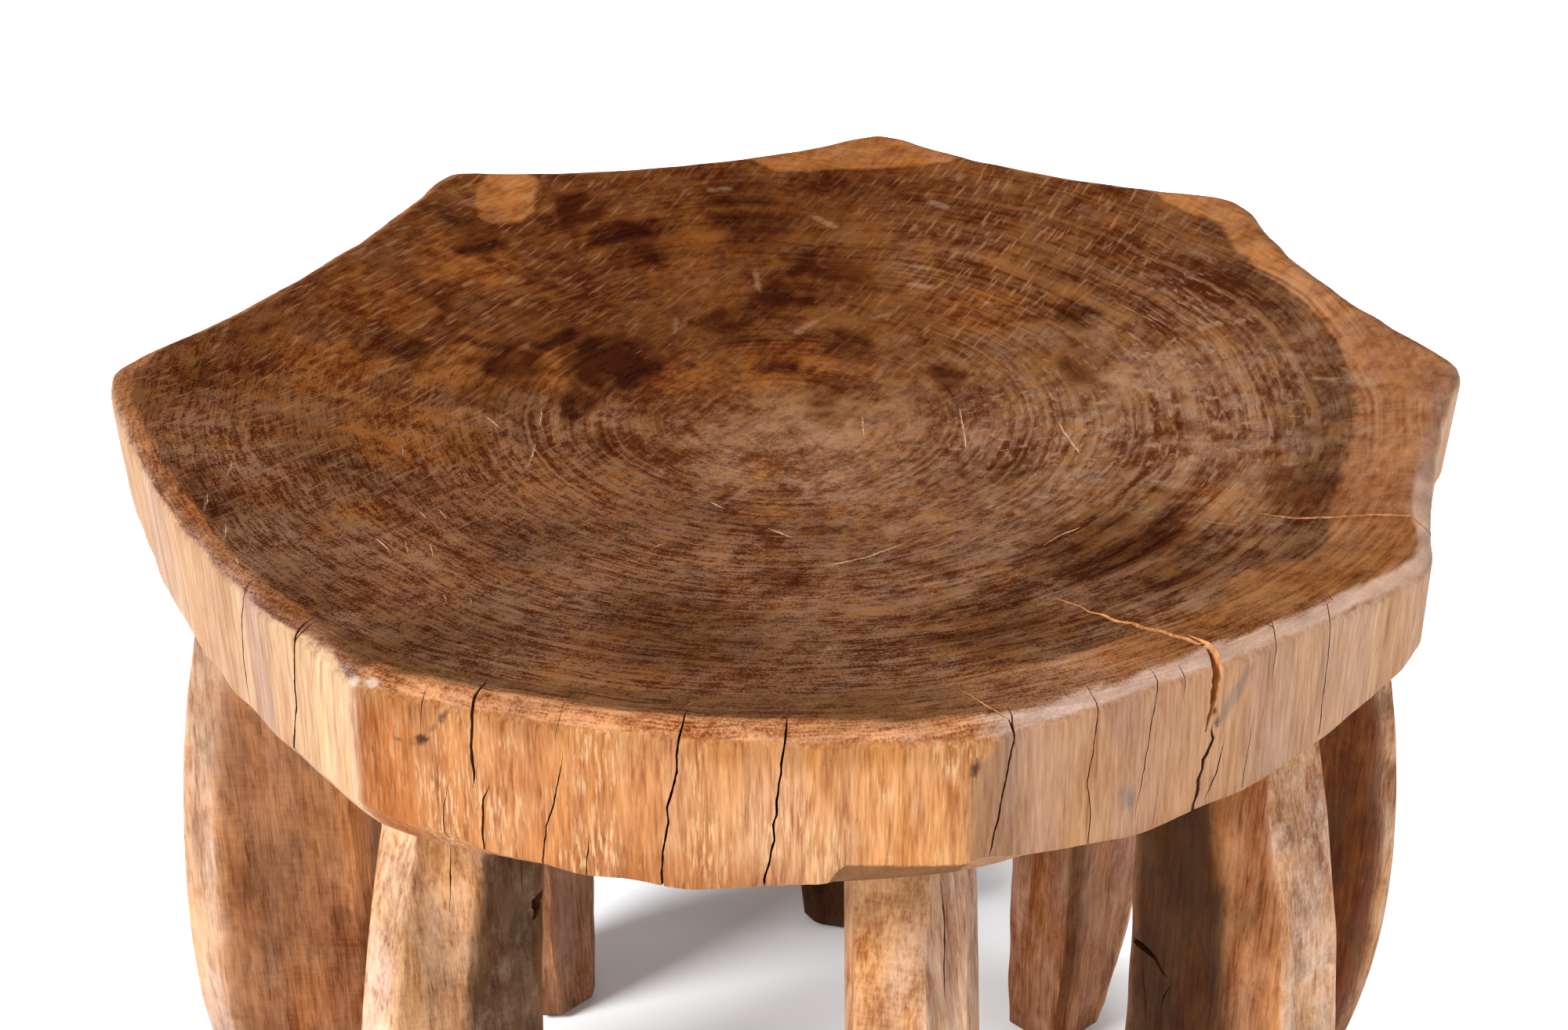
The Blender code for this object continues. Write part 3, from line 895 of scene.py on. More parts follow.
# Bloom, cross-hatching and dirt of each facet, in the same order. Inner facets are the ones that are unseen
INNER_MARKS = (0, 0.1, 0.2)
PLAIN_MARKS = (0, 0.2, 0.1)
LEG_MARKS = {
    "leg_front_right": ((0.2, 0.1, 0.1), *(INNER_MARKS,) * 4, (0, 0.1, 0.45), (0.05, 0.1, 0.25), (0.5, 0.2, 0.4)),
    "leg_front_left": ((0.10, 0.3, 0.15), (0.15, 0.1, 0.55), *(INNER_MARKS,) * 5, (0.2, 0.2, 0.1)),
    "leg_left": ((0.15, 0.2, 0.2), (0, 0.4, 0.3), *(INNER_MARKS,) * 6),
    "leg_front": ((0.1, 0.2, 0.2), (0.1, 0.1, 0.3), *(INNER_MARKS,) * 4, (0.1, 0.3, 0.1), (0, 0.5, 0.15)),
    "leg_right": ((0.1, 0.2, 0.1), *(INNER_MARKS,) * 4, (0, 0.1, 0.5), (0, 0.1, 0.4), (0.2, 0.1, 0.1)),
}

# A pale strip: its facet and the shares across it between which it comes in
LEG_STRIPS = {"leg_right": (6, 0.35, 0.75)}

# Cracks of the legs, as pixels of the photograph, with width and depth in mm
LEG_CRACKS = {
    "leg_front": (
        (((1199, 1119), (1205, 1174), (1204, 1230), (1205, 1281)), 1.2, 6, (6, 6)),
    ),
    "leg_front_left": (
        (((574, 1070), (575, 1120), (573, 1170)), 0.45, 3, (8, 8)),
        (((695, 1126), (690, 1140), (683, 1150), (686, 1162), (678, 1180)), 5.0, 7, (4, 5)),
        (((694, 1176), (691, 1232)), 1.2, 5, (5, 6)),
        (((664, 1090), (667, 1150)), 0.6, 4, (6, 6)),
        (((650, 1080), (652, 1128)), 0.5, 4, (6, 6)),
    ),
    "leg_front_right": (
        (((1446, 1199), (1462, 1212), (1474, 1222), (1480, 1236), (1492, 1252)), 2.8, 8, (0, 8)),
        (((1493, 1256), (1484, 1272), (1478, 1300)), 0.8, 5, (5, 6)),
        (((1456, 1232), (1460, 1270), (1461, 1308)), 1.3, 5, (5, 6)),
    ),
}


# Materials

class Graph:
    """A material's nodes, written as plain calls. A value may be a number, a tuple or another node's socket."""

    def __init__(self, name):
        self.material = bpy.data.materials.new(name)
        self.material.use_nodes = True
        self.tree = self.material.node_tree
        self.tree.nodes.clear()

    def node(self, kind, *inputs, **settings):
        """A new node, fed by pairs of a socket's name or number and a value."""
        made = self.tree.nodes.new("ShaderNode" + kind)
        for key, value in settings.items():
            setattr(made, key, value)
        for key, value in inputs:
            socket = made.inputs[key]
            if isinstance(value, bpy.types.NodeSocket):
                self.tree.links.new(value, socket)
            elif socket.type == "RGBA":
                socket.default_value = (*value, 1.0)
            else:
                socket.default_value = value
        return made

    def math(self, operation, *values, clamp=False):
        return self.node("Math", *enumerate(values), operation=operation, use_clamp=clamp).outputs[0]

    def plus(self, first, second):
        return self.math("ADD", first, second)

    def times(self, first, second):
        return self.math("MULTIPLY", first, second)

    def without(self, value):
        return self.math("SUBTRACT", 1.0, value)

    def fitted(self, value, factor, shift):
        return self.math("MULTIPLY_ADD", value, factor, shift)

    def eased(self, value, share):
        """The value's swing about 0.5, made smaller."""
        return self.fitted(self.math("SUBTRACT", value, 0.5), share, 0.5)

    def weighed(self, *parts):
        """0.5 plus the swings of noises about 0.5, each with its weight."""
        total = 0.5
        for noise, weight in parts:
            total = self.plus(total, self.fitted(noise, weight, -0.5 * weight))
        return total

    def step(self, value, low, high):
        """0 below low, 1 above high, and a smooth change between them."""
        pairs = ("Value", value), ("From Min", low), ("From Max", high)
        return self.node("MapRange", *pairs, interpolation_type="SMOOTHSTEP").outputs[0]

    def vector(self, operation, *values, output=0):
        return self.node("VectorMath", *enumerate(values), operation=operation).outputs[output]

    def scaled(self, vector, factor):
        return self.node("VectorMath", (0, vector), ("Scale", factor), operation="SCALE").outputs[0]

    def noise(self, place, scale, detail=2.0, roughness=0.5, distortion=0.0):
        pairs = ("Vector", place), ("Scale", scale), ("Detail", detail), ("Roughness", roughness)
        return self.node("TexNoise", *pairs, ("Distortion", distortion)).outputs[0]

    def noise_1d(self, place, scale, detail, roughness):
        pairs = ("W", place), ("Scale", scale), ("Detail", detail), ("Roughness", roughness)
        return self.node("TexNoise", *pairs, noise_dimensions="1D").outputs[0]

    def grained(self, place, rise, *noise):
        """Noise stretched along the upright grain."""
        return self.noise(self.vector("MULTIPLY", place, (1, 1, rise)), *noise)

    def tint(self, base, tone, factor):
        return self.node("Mix", (0, factor), (6, base), (7, tone), data_type="RGBA").outputs[2]

    def between(self, first, second, factor):
        return self.node("Mix", (0, factor), (2, first), (3, second), data_type="FLOAT").outputs[0]

    def toned(self, paint, tone, haze):
        """Paint that goes deeper and redder where the tone is low, and greyer where the haze is high."""
        tints = self.tint(DEEP_TINT, PALE_TINT, self.step(tone, -0.25, 1.25))
        film = self.tint(WARM_TINT, COOL_TINT, self.math("ADD", haze, 0.0, clamp=True))
        return self.vector("MULTIPLY", paint, self.vector("MULTIPLY", tints, film))

    def place(self):
        return self.node("TexCoord").outputs["Object"]

    def attribute(self, name):
        return self.node("Attribute", attribute_name=name).outputs["Color"]

    def channels(self, name):
        """The three numbers of a stored colour."""
        return self.node("SeparateColor", (0, self.attribute(name))).outputs[:3]

    def finish(self, colour, roughness, height, bump, specular):
        relief = self.node("Bump", ("Strength", bump), ("Distance", MM), ("Height", height)).outputs[0]
        pairs = ("Base Color", colour), ("Roughness", roughness), ("Specular IOR Level", specular)
        shader = self.node("BsdfPrincipled", *pairs, ("Normal", relief))
        self.node("OutputMaterial", ("Surface", shader.outputs[0]))
        return self.material


def long_grain(graph, place):
    """Tone, haze and relief of a surface along the grain, which is upright."""
    bands = graph.grained(place, 1 / 8, 95.0, 4.0, 0.6, 0.6)
    fine = graph.grained(place, 1 / 15, 560.0, 3.0, 0.6)
    hair = graph.grained(place, 1 / 16, 1500.0, 2.0, 0.6)
    lines = graph.step(graph.grained(place, 1 / 16, 640.0, 1.0), 0.64, 0.74)
    specks = graph.step(graph.grained(place, 0.4, 420.0, 2.0), 0.70, 0.78)
    tone = graph.weighed((bands, 1.1), (fine, 1.1), (hair, 0.9), (lines, -0.22), (specks, -0.22))
    haze = graph.fitted(graph.grained(place, 1 / 7, 60.0, 4.0, 0.6), 2.0, -0.5)
    return graph.plus(tone, -0.17), haze, graph.fitted(fine, 0.6, graph.times(hair, 0.4))


def end_grain(graph, place):
    """A surface across the grain, with rings round the pith.

    Gives its tone, haze, pale marks, scratches, share of the right side, mottle and relief.
    """
    away = graph.vector("MULTIPLY", graph.vector("SUBTRACT", place, (*PITH, 0)), (1, 1, 0))
    reach = graph.vector("LENGTH", away, output=1)
    way = graph.vector("NORMALIZE", away)
    x, y, _ = graph.node("SeparateXYZ", (0, place)).outputs
    warped = graph.fitted(graph.noise(place, 15.0), 9 * MM, reach)
    warped = graph.fitted(graph.noise(place, 120.0, 2.0, 0.6), 0.9 * MM, warped)
    # The rings come out in places, away from the pith, and least at the back and on the left
    clear = graph.fitted(graph.step(graph.noise(place, 17.0, 1.0), 0.36, 0.60), 1.1, 0.25)
    clear = graph.times(clear, graph.step(reach, 10 * MM, 60 * MM))
    clear = graph.times(clear, graph.without(graph.step(y, 30 * MM, 300 * MM)))
    clear = graph.times(clear, graph.fitted(graph.step(x, -80 * MM, -150 * MM), -0.6, 1.0))
    rings = graph.eased(graph.noise_1d(warped, 400.0, 2.0, 0.55), clear)
    broad = graph.eased(graph.noise_1d(warped, 95.0, 2.0, 0.5), clear)

    def around(across, along, *noise):
        """Noise stretched along the rings."""
        lift = graph.node("CombineXYZ", ("Z", graph.times(warped, along))).outputs[0]
        return graph.noise(graph.vector("ADD", graph.scaled(way, across), lift), 1.0, *noise)

    def along_bearing(degrees, length, width, *noise):
        """Noise stretched along one bearing."""
        turn = math.radians(degrees)
        first = (math.cos(turn) / length, math.sin(turn) / length, 0)
        second = (-math.sin(turn) / width, math.cos(turn) / width, 0)
        pairs = [(i, graph.vector("DOT_PRODUCT", place, row, output=1)) for i, row in enumerate((first, second))]
        return graph.noise(graph.node("CombineXYZ", *pairs).outputs[0], 1.0, *noise)

    streaks = around(14.0, 430.0, 3.0, 0.6)
    hair = around(22.0, 1500.0, 2.0, 0.6)
    rays = around(300.0, 60.0)
    dashes = graph.step(around(15.0, 620.0, 2.0, 0.55), 0.54, 0.70)
    blots = graph.step(around(22.0, 170.0, 3.0, 0.6), 0.60, 0.68)
    brushed = along_bearing(58, 12 * MM, 2.4 * MM, 3.0, 0.6)
    strokes = graph.step(along_bearing(61, 13 * MM, 1.9 * MM), 0.55, 0.69)
    scratches = graph.step(along_bearing(52, 9 * MM, 0.55 * MM, 1.0), 0.72, 0.80)
    mottle = graph.noise(place, 58.0, 3.0, 0.6, 0.6)
    grit = graph.noise(place, 170.0, 2.0, 0.6, 0.4)
    clouds = graph.noise(place, 24.0, 2.0, 0.5, 0.3)
    pores = graph.noise(place, 1300.0, 2.0, 0.6)
    tone = graph.weighed(
        (rings, 1.2), (broad, 0.8), (streaks, 0.5), (brushed, 1.1), (mottle, 1.5), (grit, 1.2), (clouds, 1.3),
        (rays, 0.4),
    )
    # The front is the dry side, whose grain stands open
    fine = graph.weighed((hair, 1.3), (pores, 1.6), (streaks, 0.9))
    open_grain = graph.fitted(graph.step(graph.fitted(x, 0.5, y), -170 * MM, 30 * MM), -1.6, 2.0)
    tone = graph.fitted(graph.math("SUBTRACT", fine, 0.5), open_grain, tone)
    haze = graph.fitted(around(12.0, 90.0, 4.0, 0.62), 2.6, -0.8)
    on_right = graph.step(graph.fitted(y, -0.9, x), 0.0, 80 * MM)
    pale = graph.between(strokes, graph.math("MAXIMUM", dashes, blots), on_right)
    relief = graph.fitted(rings, 0.6, graph.times(pores, 0.5))
    return tone, haze, pale, scratches, on_right, mottle, relief


def seat_material():
    graph = Graph("seat_wood")
    place = graph.place()
    to_sap, above, shaved_shade_field = graph.channels("fields")
    dashed, flecked, lined = graph.channels("marks")
    haze_shift, side_swing, calm_top = graph.channels("film")
    ragged = graph.noise(place, 260.0, 3.0, 0.6)
    sap = graph.step(graph.fitted(ragged, 0.03, to_sap), 0.49, 0.54)
    top = graph.step(graph.fitted(ragged, 0.08, above), 0.515, 0.565)
    shaved_shade = graph.step(graph.fitted(ragged, 0.08, shaved_shade_field), 0.53, 0.58)
    # The end grain. Sapwood has less swing than heartwood
    tone, haze, pale, scratches, on_right, mottle, end_relief = end_grain(graph, place)
    # calm_top also evens out the tone of the painted highlight band on the right of the arris
    calm = graph.times(graph.fitted(sap, -0.4, 1.0), graph.without(calm_top))
    haze = graph.plus(graph.eased(haze, calm), graph.fitted(haze_shift, 2.0, -1.0))
    ends = graph.tint(graph.attribute("paint"), graph.attribute("sap_paint"), sap)
    ends = graph.toned(ends, graph.eased(tone, calm), haze)
    pale_tone = graph.tint(PALE_STROKE, PALE_DASH, on_right)
    ends = graph.tint(ends, pale_tone, graph.times(graph.times(pale, dashed), 0.6))
    ends = graph.tint(ends, SCRATCH, graph.times(scratches, 0.5))
    hairlines = graph.step(graph.noise(place, 900.0, 1.0), 0.52, 0.66)
    ends = graph.tint(ends, HAIRLINE, graph.times(hairlines, lined))
    # The wall
    tone, haze, long_relief = long_grain(graph, place)
    sides = graph.attribute("side_paint")
    sides = graph.toned(sides, graph.eased(tone, side_swing), graph.eased(haze, side_swing))
    # The shaved facet under the front point is painted darker as painted shade, and carries no pale flecks
    sides = graph.tint(sides, SHAVED_SHADE, graph.times(shaved_shade, 0.8))
    short = graph.step(graph.grained(place, 1 / 11, 1300.0, 3.0, 0.6), 0.46, 0.66)
    clusters = graph.step(graph.grained(place, 0.6, 50.0, 3.0, 0.6), 0.42, 0.66)
    flecked = graph.times(flecked, graph.without(shaved_shade))
    sides = graph.tint(sides, BLEACHED, graph.times(graph.times(short, clusters), flecked))
    colour = graph.tint(sides, ends, top)
    for field, tone, strength in zip(graph.channels("smudges"), (PALE_MARK, SOOT, CHALK), (0.38, 0.9, 0.6)):
        smudge = graph.step(graph.fitted(ragged, 0.26, field), 0.58, 0.74)
        colour = graph.tint(colour, tone, graph.times(smudge, strength))
    roughness = graph.fitted(mottle, 0.22, graph.fitted(calm_top, -0.2, 0.44))
    roughness = graph.fitted(top, -0.10, graph.plus(roughness, 0.10))
    return graph.finish(colour, roughness, graph.between(long_relief, end_relief, top), 0.35, 0.04)


def leg_material(name):
    graph = Graph(name + "_wood")
    place = graph.place()
    bloom, hatched, dirty = graph.channels("marks")
    tone, haze, relief = long_grain(graph, place)
    mottle = graph.grained(place, 0.5, 70.0, 6.0, 0.72, 0.6)
    clouds = graph.grained(place, 0.35, 26.0)
    across = graph.grained(place, 9, 110.0, 3.0, 0.6)
    tone = graph.weighed((tone, 1.0), (mottle, 1.5), (clouds, 1.2))
    tone = graph.plus(tone, graph.times(graph.math("SUBTRACT", across, 0.5), hatched))
    haze = graph.plus(haze, graph.fitted(mottle, 1.0, -0.5))
    colour = graph.toned(graph.attribute("paint"), tone, haze)
    pale = graph.step(graph.grained(place, 0.6, 120.0, 5.0, 0.8), 0.45, 0.70)
    colour = graph.tint(colour, BLOOM, graph.times(pale, bloom))
    dirt = graph.step(graph.grained(place, 0.5, 130.0, 4.0, 0.7), 0.50, 0.64)
    colour = graph.tint(colour, DIRT, graph.times(dirt, dirty))
    return graph.finish(colour, graph.fitted(mottle, 0.20, 0.46), relief, 0.40, 0.05)


def crack_material(name, colour):
    graph = Graph(name)
    tone, haze, relief = long_grain(graph, graph.place())
    return graph.finish(graph.toned(colour, tone, haze), 0.7, relief, 0.3, 0.1)


# Painting, worked out from each point's place

# The edge of the heartwood where it shows, as pixels of the photograph
HEART_EDGE = (
    (1706, 630), (1720, 576), (1727, 540), (1724, 486), (1711, 450), (1684, 405), (1630, 360), (1585, 324),
    (1540, 279), (1490, 256), (1440, 236), (1234, 200), (1207, 207), (1162, 211), (1090, 216), (1000, 218), (960, 205),
    (880, 190), (800, 195), (715, 205), (650, 205), (600, 208), (570, 225), (480, 285), (400, 330), (300, 392),
    (215, 440), (170, 480), (190, 560), (250, 650), (330, 740), (430, 800), (520, 842), (700, 872), (900, 885),
    (1100, 880), (1260, 858), (1400, 826), (1480, 795), (1549, 769), (1579, 731), (1684, 706), (1697, 656),
)

# A patch of pale wood by the back left point: a pixel, and half its size across and along in mm
PATCH = ((645, 253), 12, 21)

# Dark stains of the top: pixel of the photograph, radius in mm, strength
STAINS = (
    ((737, 274), 14, 0.7), ((809, 302), 16, 0.8), ((616, 314), 12, 0.6), ((781, 459), 20, 0.9), ((745, 511), 12, 0.6),
    ((709, 431), 13, 0.6), ((930, 419), 14, 0.6), ((994, 383), 14, 0.7), ((994, 463), 7, 0.5), ((1062, 503), 8, 0.4),
    ((544, 455), 9, 0.5), ((560, 390), 10, 0.5), ((769, 559), 8, 0.4), ((849, 579), 8, 0.4), ((1378, 398), 10, 0.5),
    ((1214, 480), 9, 0.5), ((1102, 439), 10, 0.5), ((1051, 510), 8, 0.4), ((1286, 607), 8, 0.5), ((1357, 531), 7, 0.4),
    ((1510, 546), 7, 0.4), ((1199, 725), 9, 0.5), ((1459, 689), 10, 0.5), ((1536, 684), 6, 0.7), ((1046, 679), 8, 0.3),
    ((1030, 342), 12, 0.6), ((1000, 383), 12, 0.5), ((880, 845), 9, 0.35), ((950, 270), 26, 0.5),
    ((1060, 250), 20, 0.4), ((650, 465), 16, 0.6), ((1050, 520), 12, 0.6), ((608, 565), 12, 0.4),
    ((1372, 470), 18, 0.4), ((1290, 605), 12, 0.4), ((1430, 705), 36, 0.5), ((1270, 800), 26, 0.5),
    ((860, 800), 34, 0.3), ((840, 310), 14, 0.45), ((1080, 350), 14, 0.45), ((1085, 440), 12, 0.4),
    ((1165, 215), 10, 0.4), ((605, 500), 10, 0.35), ((500, 440), 12, 0.4), ((680, 400), 10, 0.4),
    ((1400, 800), 16, 0.45), ((1310, 805), 14, 0.45), ((1480, 640), 10, 0.35), ((1560, 420), 10, 0.3),
    ((1000, 740), 14, 0.3), ((1660, 620), 14, 0.35), ((600, 300), 14, 0.4), ((400, 596), 7, 0.4),
    ((355, 640), 6, 0.35), ((250, 480), 8, 0.5), ((330, 420), 8, 0.45),
)
# Reddish glow of the oiled wood: pixel, radius in mm, strength
GLOWS = (
    ((600, 330), 30, 0.6), ((1000, 470), 26, 0.5), ((975, 600), 12, 0.7), ((690, 470), 18, 0.6), ((880, 300), 30, 0.2),
    ((1250, 400), 20, 0.5), ((640, 260), 12, 0.5), ((860, 480), 20, 0.5), ((420, 470), 24, 0.5), ((980, 650), 16, 0.5),
    ((1130, 560), 12, 0.4), ((480, 380), 24, 0.5), ((520, 560), 30, 0.5), ((590, 470), 20, 0.6),
    ((1540, 640), 16, 0.4), ((560, 690), 14, 0.4), ((470, 650), 12, 0.5), ((1680, 740), 14, 0.6),
)
# Paler patches of the top, partly worn wood and partly painted sheen, the largest in the middle and on the right:
# pixel, radius in mm, strength
WORN_AND_SHEEN_PATCHES = (
    ((1020, 575), 55, 0.75), ((1560, 560), 30, 0.5), ((1480, 470), 22, 0.4), ((330, 700), 26, 0.35),
    ((520, 700), 22, 0.3), ((900, 760), 60, 0.20), ((1380, 640), 26, 0.3), ((1210, 330), 30, 0.25),
    ((640, 560), 26, 0.25), ((270, 565), 26, 0.5), ((760, 545), 30, 0.4), ((420, 800), 16, 0.4),
    ((1170, 560), 22, 0.4), ((1245, 555), 20, 0.45), ((1400, 552), 14, 0.45), ((1220, 750), 18, 0.4),
    ((770, 765), 24, 0.35), ((1010, 500), 20, 0.2), ((350, 800), 14, 0.35), ((620, 840), 14, 0.2),
    ((600, 250), 10, 0.3), ((1330, 700), 12, 0.45), ((1650, 780), 10, 0.6), ((1063, 835), 5, 0.8),
    ((1690, 485), 6, 0.7), ((1735, 550), 6, 0.7),
)

# Small marks: two pixels of the photograph and a radius in mm
PALE_MARKS = (
    ((1676, 483), (1704, 483), 1.1), ((1714, 470), (1722, 480), 1.2), ((1722, 482), (1766, 502), 0.9),
    ((1730, 476), (1752, 488), 0.8), ((1730, 520), (1743, 517), 1.3), ((1729, 552), (1744, 548), 1.6),
    ((1470, 498), (1488, 506), 1.8), ((1480, 510), (1500, 520), 1.1), ((1530, 435), (1545, 440), 1.3),
    ((1534, 420), (1552, 412), 1.5), ((1573, 618), (1588, 619), 0.7), ((1636, 592), (1650, 593), 0.8),
    ((1618, 670), (1632, 668), 1.1), ((462, 484), (498, 470), 0.9), ((728, 598), (718, 606), 0.9),
    ((712, 520), (706, 548), 0.7), ((686, 535), (692, 560), 0.7), ((640, 530), (655, 542), 0.7),
    ((536, 582), (536, 590), 0.8), ((1040, 277), (1066, 290), 1.5), ((1160, 362), (1186, 366), 1.5),
    ((1168, 340), (1184, 342), 1.3), ((1188, 258), (1206, 264), 1.5), ((1016, 424), (1040, 410), 1.2),
    ((1258, 385), (1270, 398), 1.2), ((905, 243), (930, 240), 1.3), ((965, 345), (967, 370), 0.9),
    ((863, 405), (861, 425), 0.8), ((1115, 405), (1135, 400), 1.0), ((700, 590), (690, 600), 0.6),
)
SOOT_MARKS = (
    ((1248, 966), (1241, 988), 0.9), ((575, 903), (548, 932), 0.5), ((532, 945), (538, 943), 1.4),
    ((506, 942), (511, 946), 0.8), ((1548, 905), (1552, 925), 0.8), ((1555, 685), (1568, 680), 1.2),
    ((1500, 699), (1530, 696), 0.9), ((360, 790), (366, 796), 0.6),
)
CHALK_MARKS = (
    ((450, 868), (453, 870), 1.3), ((470, 869), (476, 871), 0.9), ((1736, 608), (1748, 604), 0.4),
    ((1750, 606), (1760, 598), 0.3),
)
SLATE_MARKS = (((1592, 856), (1560, 914), 1.6), ((242, 592), (262, 586), 1.8), ((1435, 1010), (1440, 1022), 1.6))


def mark_field(points, tree, marks):
    """0.5 at the outline of the nearest mark, rising inwards."""
    field = np.zeros(len(points))
    for first, last, radius in marks:
        start, end = cast_place(tree, first), cast_place(tree, last)
        way = end - start
        share = np.clip((points - start) @ way / (way @ way), 0, 1)
        off = np.linalg.norm(points - start - share[:, None] * way, axis=1)
        field = np.maximum(field, 0.5 - (off - (radius + 0.3) * MM) / MARK_REACH)
    return field


def coated(base, *coats):
    """The base under coats of paint, each with its tone and its share at each point."""
    for tone, share in coats:
        base = base * (1 - share)[:, None] + np.array(tone) * share[:, None]
    return base


def window(value, start, full, last, end):
    """0 outside start and end, 1 from full to last."""
    return smooth(start, full, value) * (1 - smooth(last, end, value))


def spots(points, tree, places, stretch=1.0):
    """Strength of soft spots at points, whose outlines are ragged."""
    ragged = points + SPOT_RAGGED * np.stack([waves(SPOT_SEED + i, SPOT_PERIOD)(points) for i in range(3)], axis=1)
    total = np.zeros(len(points))
    for pixel, radius, strength in places:
        middle = cast_place(tree, pixel)
        if middle is not None:
            near = np.linalg.norm((ragged - middle) * (1, stretch, 1), axis=1) / (radius * MM)
            total = np.maximum(total, strength * (1 - smooth(0.35, 1.15, near)))
    return total


def paint_seat(piece, tree):
    mesh = piece.data
    points = mesh_points(mesh)
    x, y, height = points.T
    bearing, reach = polar(points)
    degrees = np.degrees(bearing)
    plain = np.ones((len(points), 1))

    # Heartwood of the top
    knots, shares = polar([rim_place(tree, pixel) for pixel in HEART_EDGE])
    order = np.argsort(knots)
    edge = cyclic_curve(knots[order], shares[order], bearing)
    beyond = reach - (edge + 0.7 * MM * waves(*EDGE_RIPPLE)(points))
    right = smooth(-20 * MM, 120 * MM, x)
    back = smooth(-30 * MM, 90 * MM, y - 0.25 * x)
    rim_side = smooth(300, 320, degrees) + 1 - smooth(20, 60, degrees)
    dark_rim = smooth(-30 * MM, -6 * MM, beyond) * np.clip(rim_side, 0, 1)
    left_rim = window(degrees, 184, 190, 228, 238) * smooth(-16 * MM, -3 * MM, beyond)
    glow = spots(points, tree, GLOWS)
    # Paler patches, partly wear and partly painted sheen, which also add haze
    worn_and_sheen = spots(points, tree, WORN_AND_SHEEN_PATCHES)
    streaky = 0.82 + 0.3 * waves(*STAIN_STREAKS)(np.stack((reach, bearing * 12 * MM, reach * 0), axis=1))
    stained = np.clip(1.6 * streaky * spots(points, tree, STAINS, 0.75), 0, 0.97)
    top = coated(
        plain * HEART * (1 + 0.16 * waves(*HEART_CLOUDS)(points))[:, None],
        (HEART_RIGHT, 0.8 * right),
        (HEART_BACK, 0.8 * back),
        (HEART_RIM, 0.75 * dark_rim),
        (HEART_LEFT_RIM, 0.8 * left_rim),
        (OILED, glow),
        (RUBBED_AND_SHEEN, worn_and_sheen),
        (STAIN, stained),
    )

    # Sapwood of the top
    sap = coated(
        plain * SAP,
        (SAP_FRONT_RIGHT, window(degrees, 292, 300, 322, 334)),
        (SAP_FRONT, window(degrees, 222, 236, 276, 292)),
        (SAP_LEFT, window(degrees, 186, 196, 222, 236)),
    )

    # The wall, side by side
    past_v8 = smooth(V8_BEARING - 0.5, V8_BEARING + 0.7, degrees)
    leaning = V1_BEARING + 1.9 * smooth(SEAT_TOP - 14 * MM, SEAT_TOP - 2 * MM, height)
    right_front = smooth(-0.35, 0.35, degrees - leaning)
    front = past_v8 * (1 - right_front)
    left = smooth(176, 184, degrees) * (1 - past_v8)
    high = smooth(SEAT_TOP - 12 * MM, SEAT_TOP - 6 * MM, height)
    low = 1 - smooth(5 * MM, 19 * MM, height - SEAT_LOW)
    lowest = 1 - smooth(SEAT_LOW + 2 * MM, SEAT_LOW + 9 * MM, height)
    wall = coated(
        plain * ORANGE,
        (PEACH, left),
        (WALL_RIGHT, right_front),
        (WALL_FAR_RIGHT, smooth(300, 312, degrees)),
        (WALL_PAST_V1, 0.9 * right_front * (1 - smooth(283.5, 286, degrees))),
        (WALL_FRONT, front * smooth(256, 264, degrees)),
        (WALL_PAST_V8, front * (1 - smooth(240, 246, degrees))),
        (WALL_HIGH, 0.75 * front * high),
        (WALL_LOW, 0.7 * front * low * window(degrees, 250, 256, 267, 271)),
    )
    greyed = smooth(0.4, 1.4, waves(*GREY_STREAKS)(points * (1, 1, 0.08))) * (0.7 * left + 0.4 * right_front)
    slate = smooth(0.45, 0.55, mark_field(points, tree, SLATE_MARKS))
    wall = coated(
        wall * (1 - 0.09 * front)[:, None],
        (WALL_GREYED, np.clip(0.6 * greyed, 0, 1)),
        (SLATE, 0.6 * slate),
        (WALL_CORNER, 0.7 * smooth(222, 236, degrees) * left),
        (WALL_GREY_STRIPE, 0.8 * window(degrees, 222.7, 223.1, 226.6, 227.6)),
        (WALL_FOOT, 0.3 * lowest),
    )
    wall[height < SEAT_LOW + TOUCH] = BROWN

    # The worn land: a pale satin band of painted highlight on the right, pinkish on the front, greyish on the left
    inset = cyclic_curve(rim_knots, rim_tables[0], bearing) - reach
    inner = 5.6 * MM + 2.2 * MM * front + 0.8 * MM * waves(*LAND_INNER)(points)
    band = window(inset, 0.2 * MM, 1.0 * MM, inner - 1 * MM, inner + 1 * MM)
    band = band * smooth(-9 * MM, -6 * MM, height - SEAT_TOP)
    # Where the land carries the painted highlight: from V1 round to V3
    highlight_side = smooth(V1_BEARING, V1_BEARING + 3, degrees) * (1 - 0.8 * smooth(332, 344, degrees))
    land = coated(
        plain * LAND_BACK,
        (LAND_LEFT, left),
        (LAND_LEFT_EDGE, left * (1 - smooth(1.2 * MM, 3 * MM, inset))),
        (LAND_FRONT, front),
        (LAND_PAINTED_HIGHLIGHT, highlight_side),
    )
    land = land * (1 + 0.12 * waves(*LAND_CLOUDS)(points))[:, None]
    strength = band * (0.8 + 0.1 * highlight_side)
    store(mesh, "paint", coated(top, (land, strength)), *PAINT_RANGE)
    store(mesh, "sap_paint", coated(sap, (land, strength)), *PAINT_RANGE)
    store(mesh, "side_paint", wall, *PAINT_RANGE)

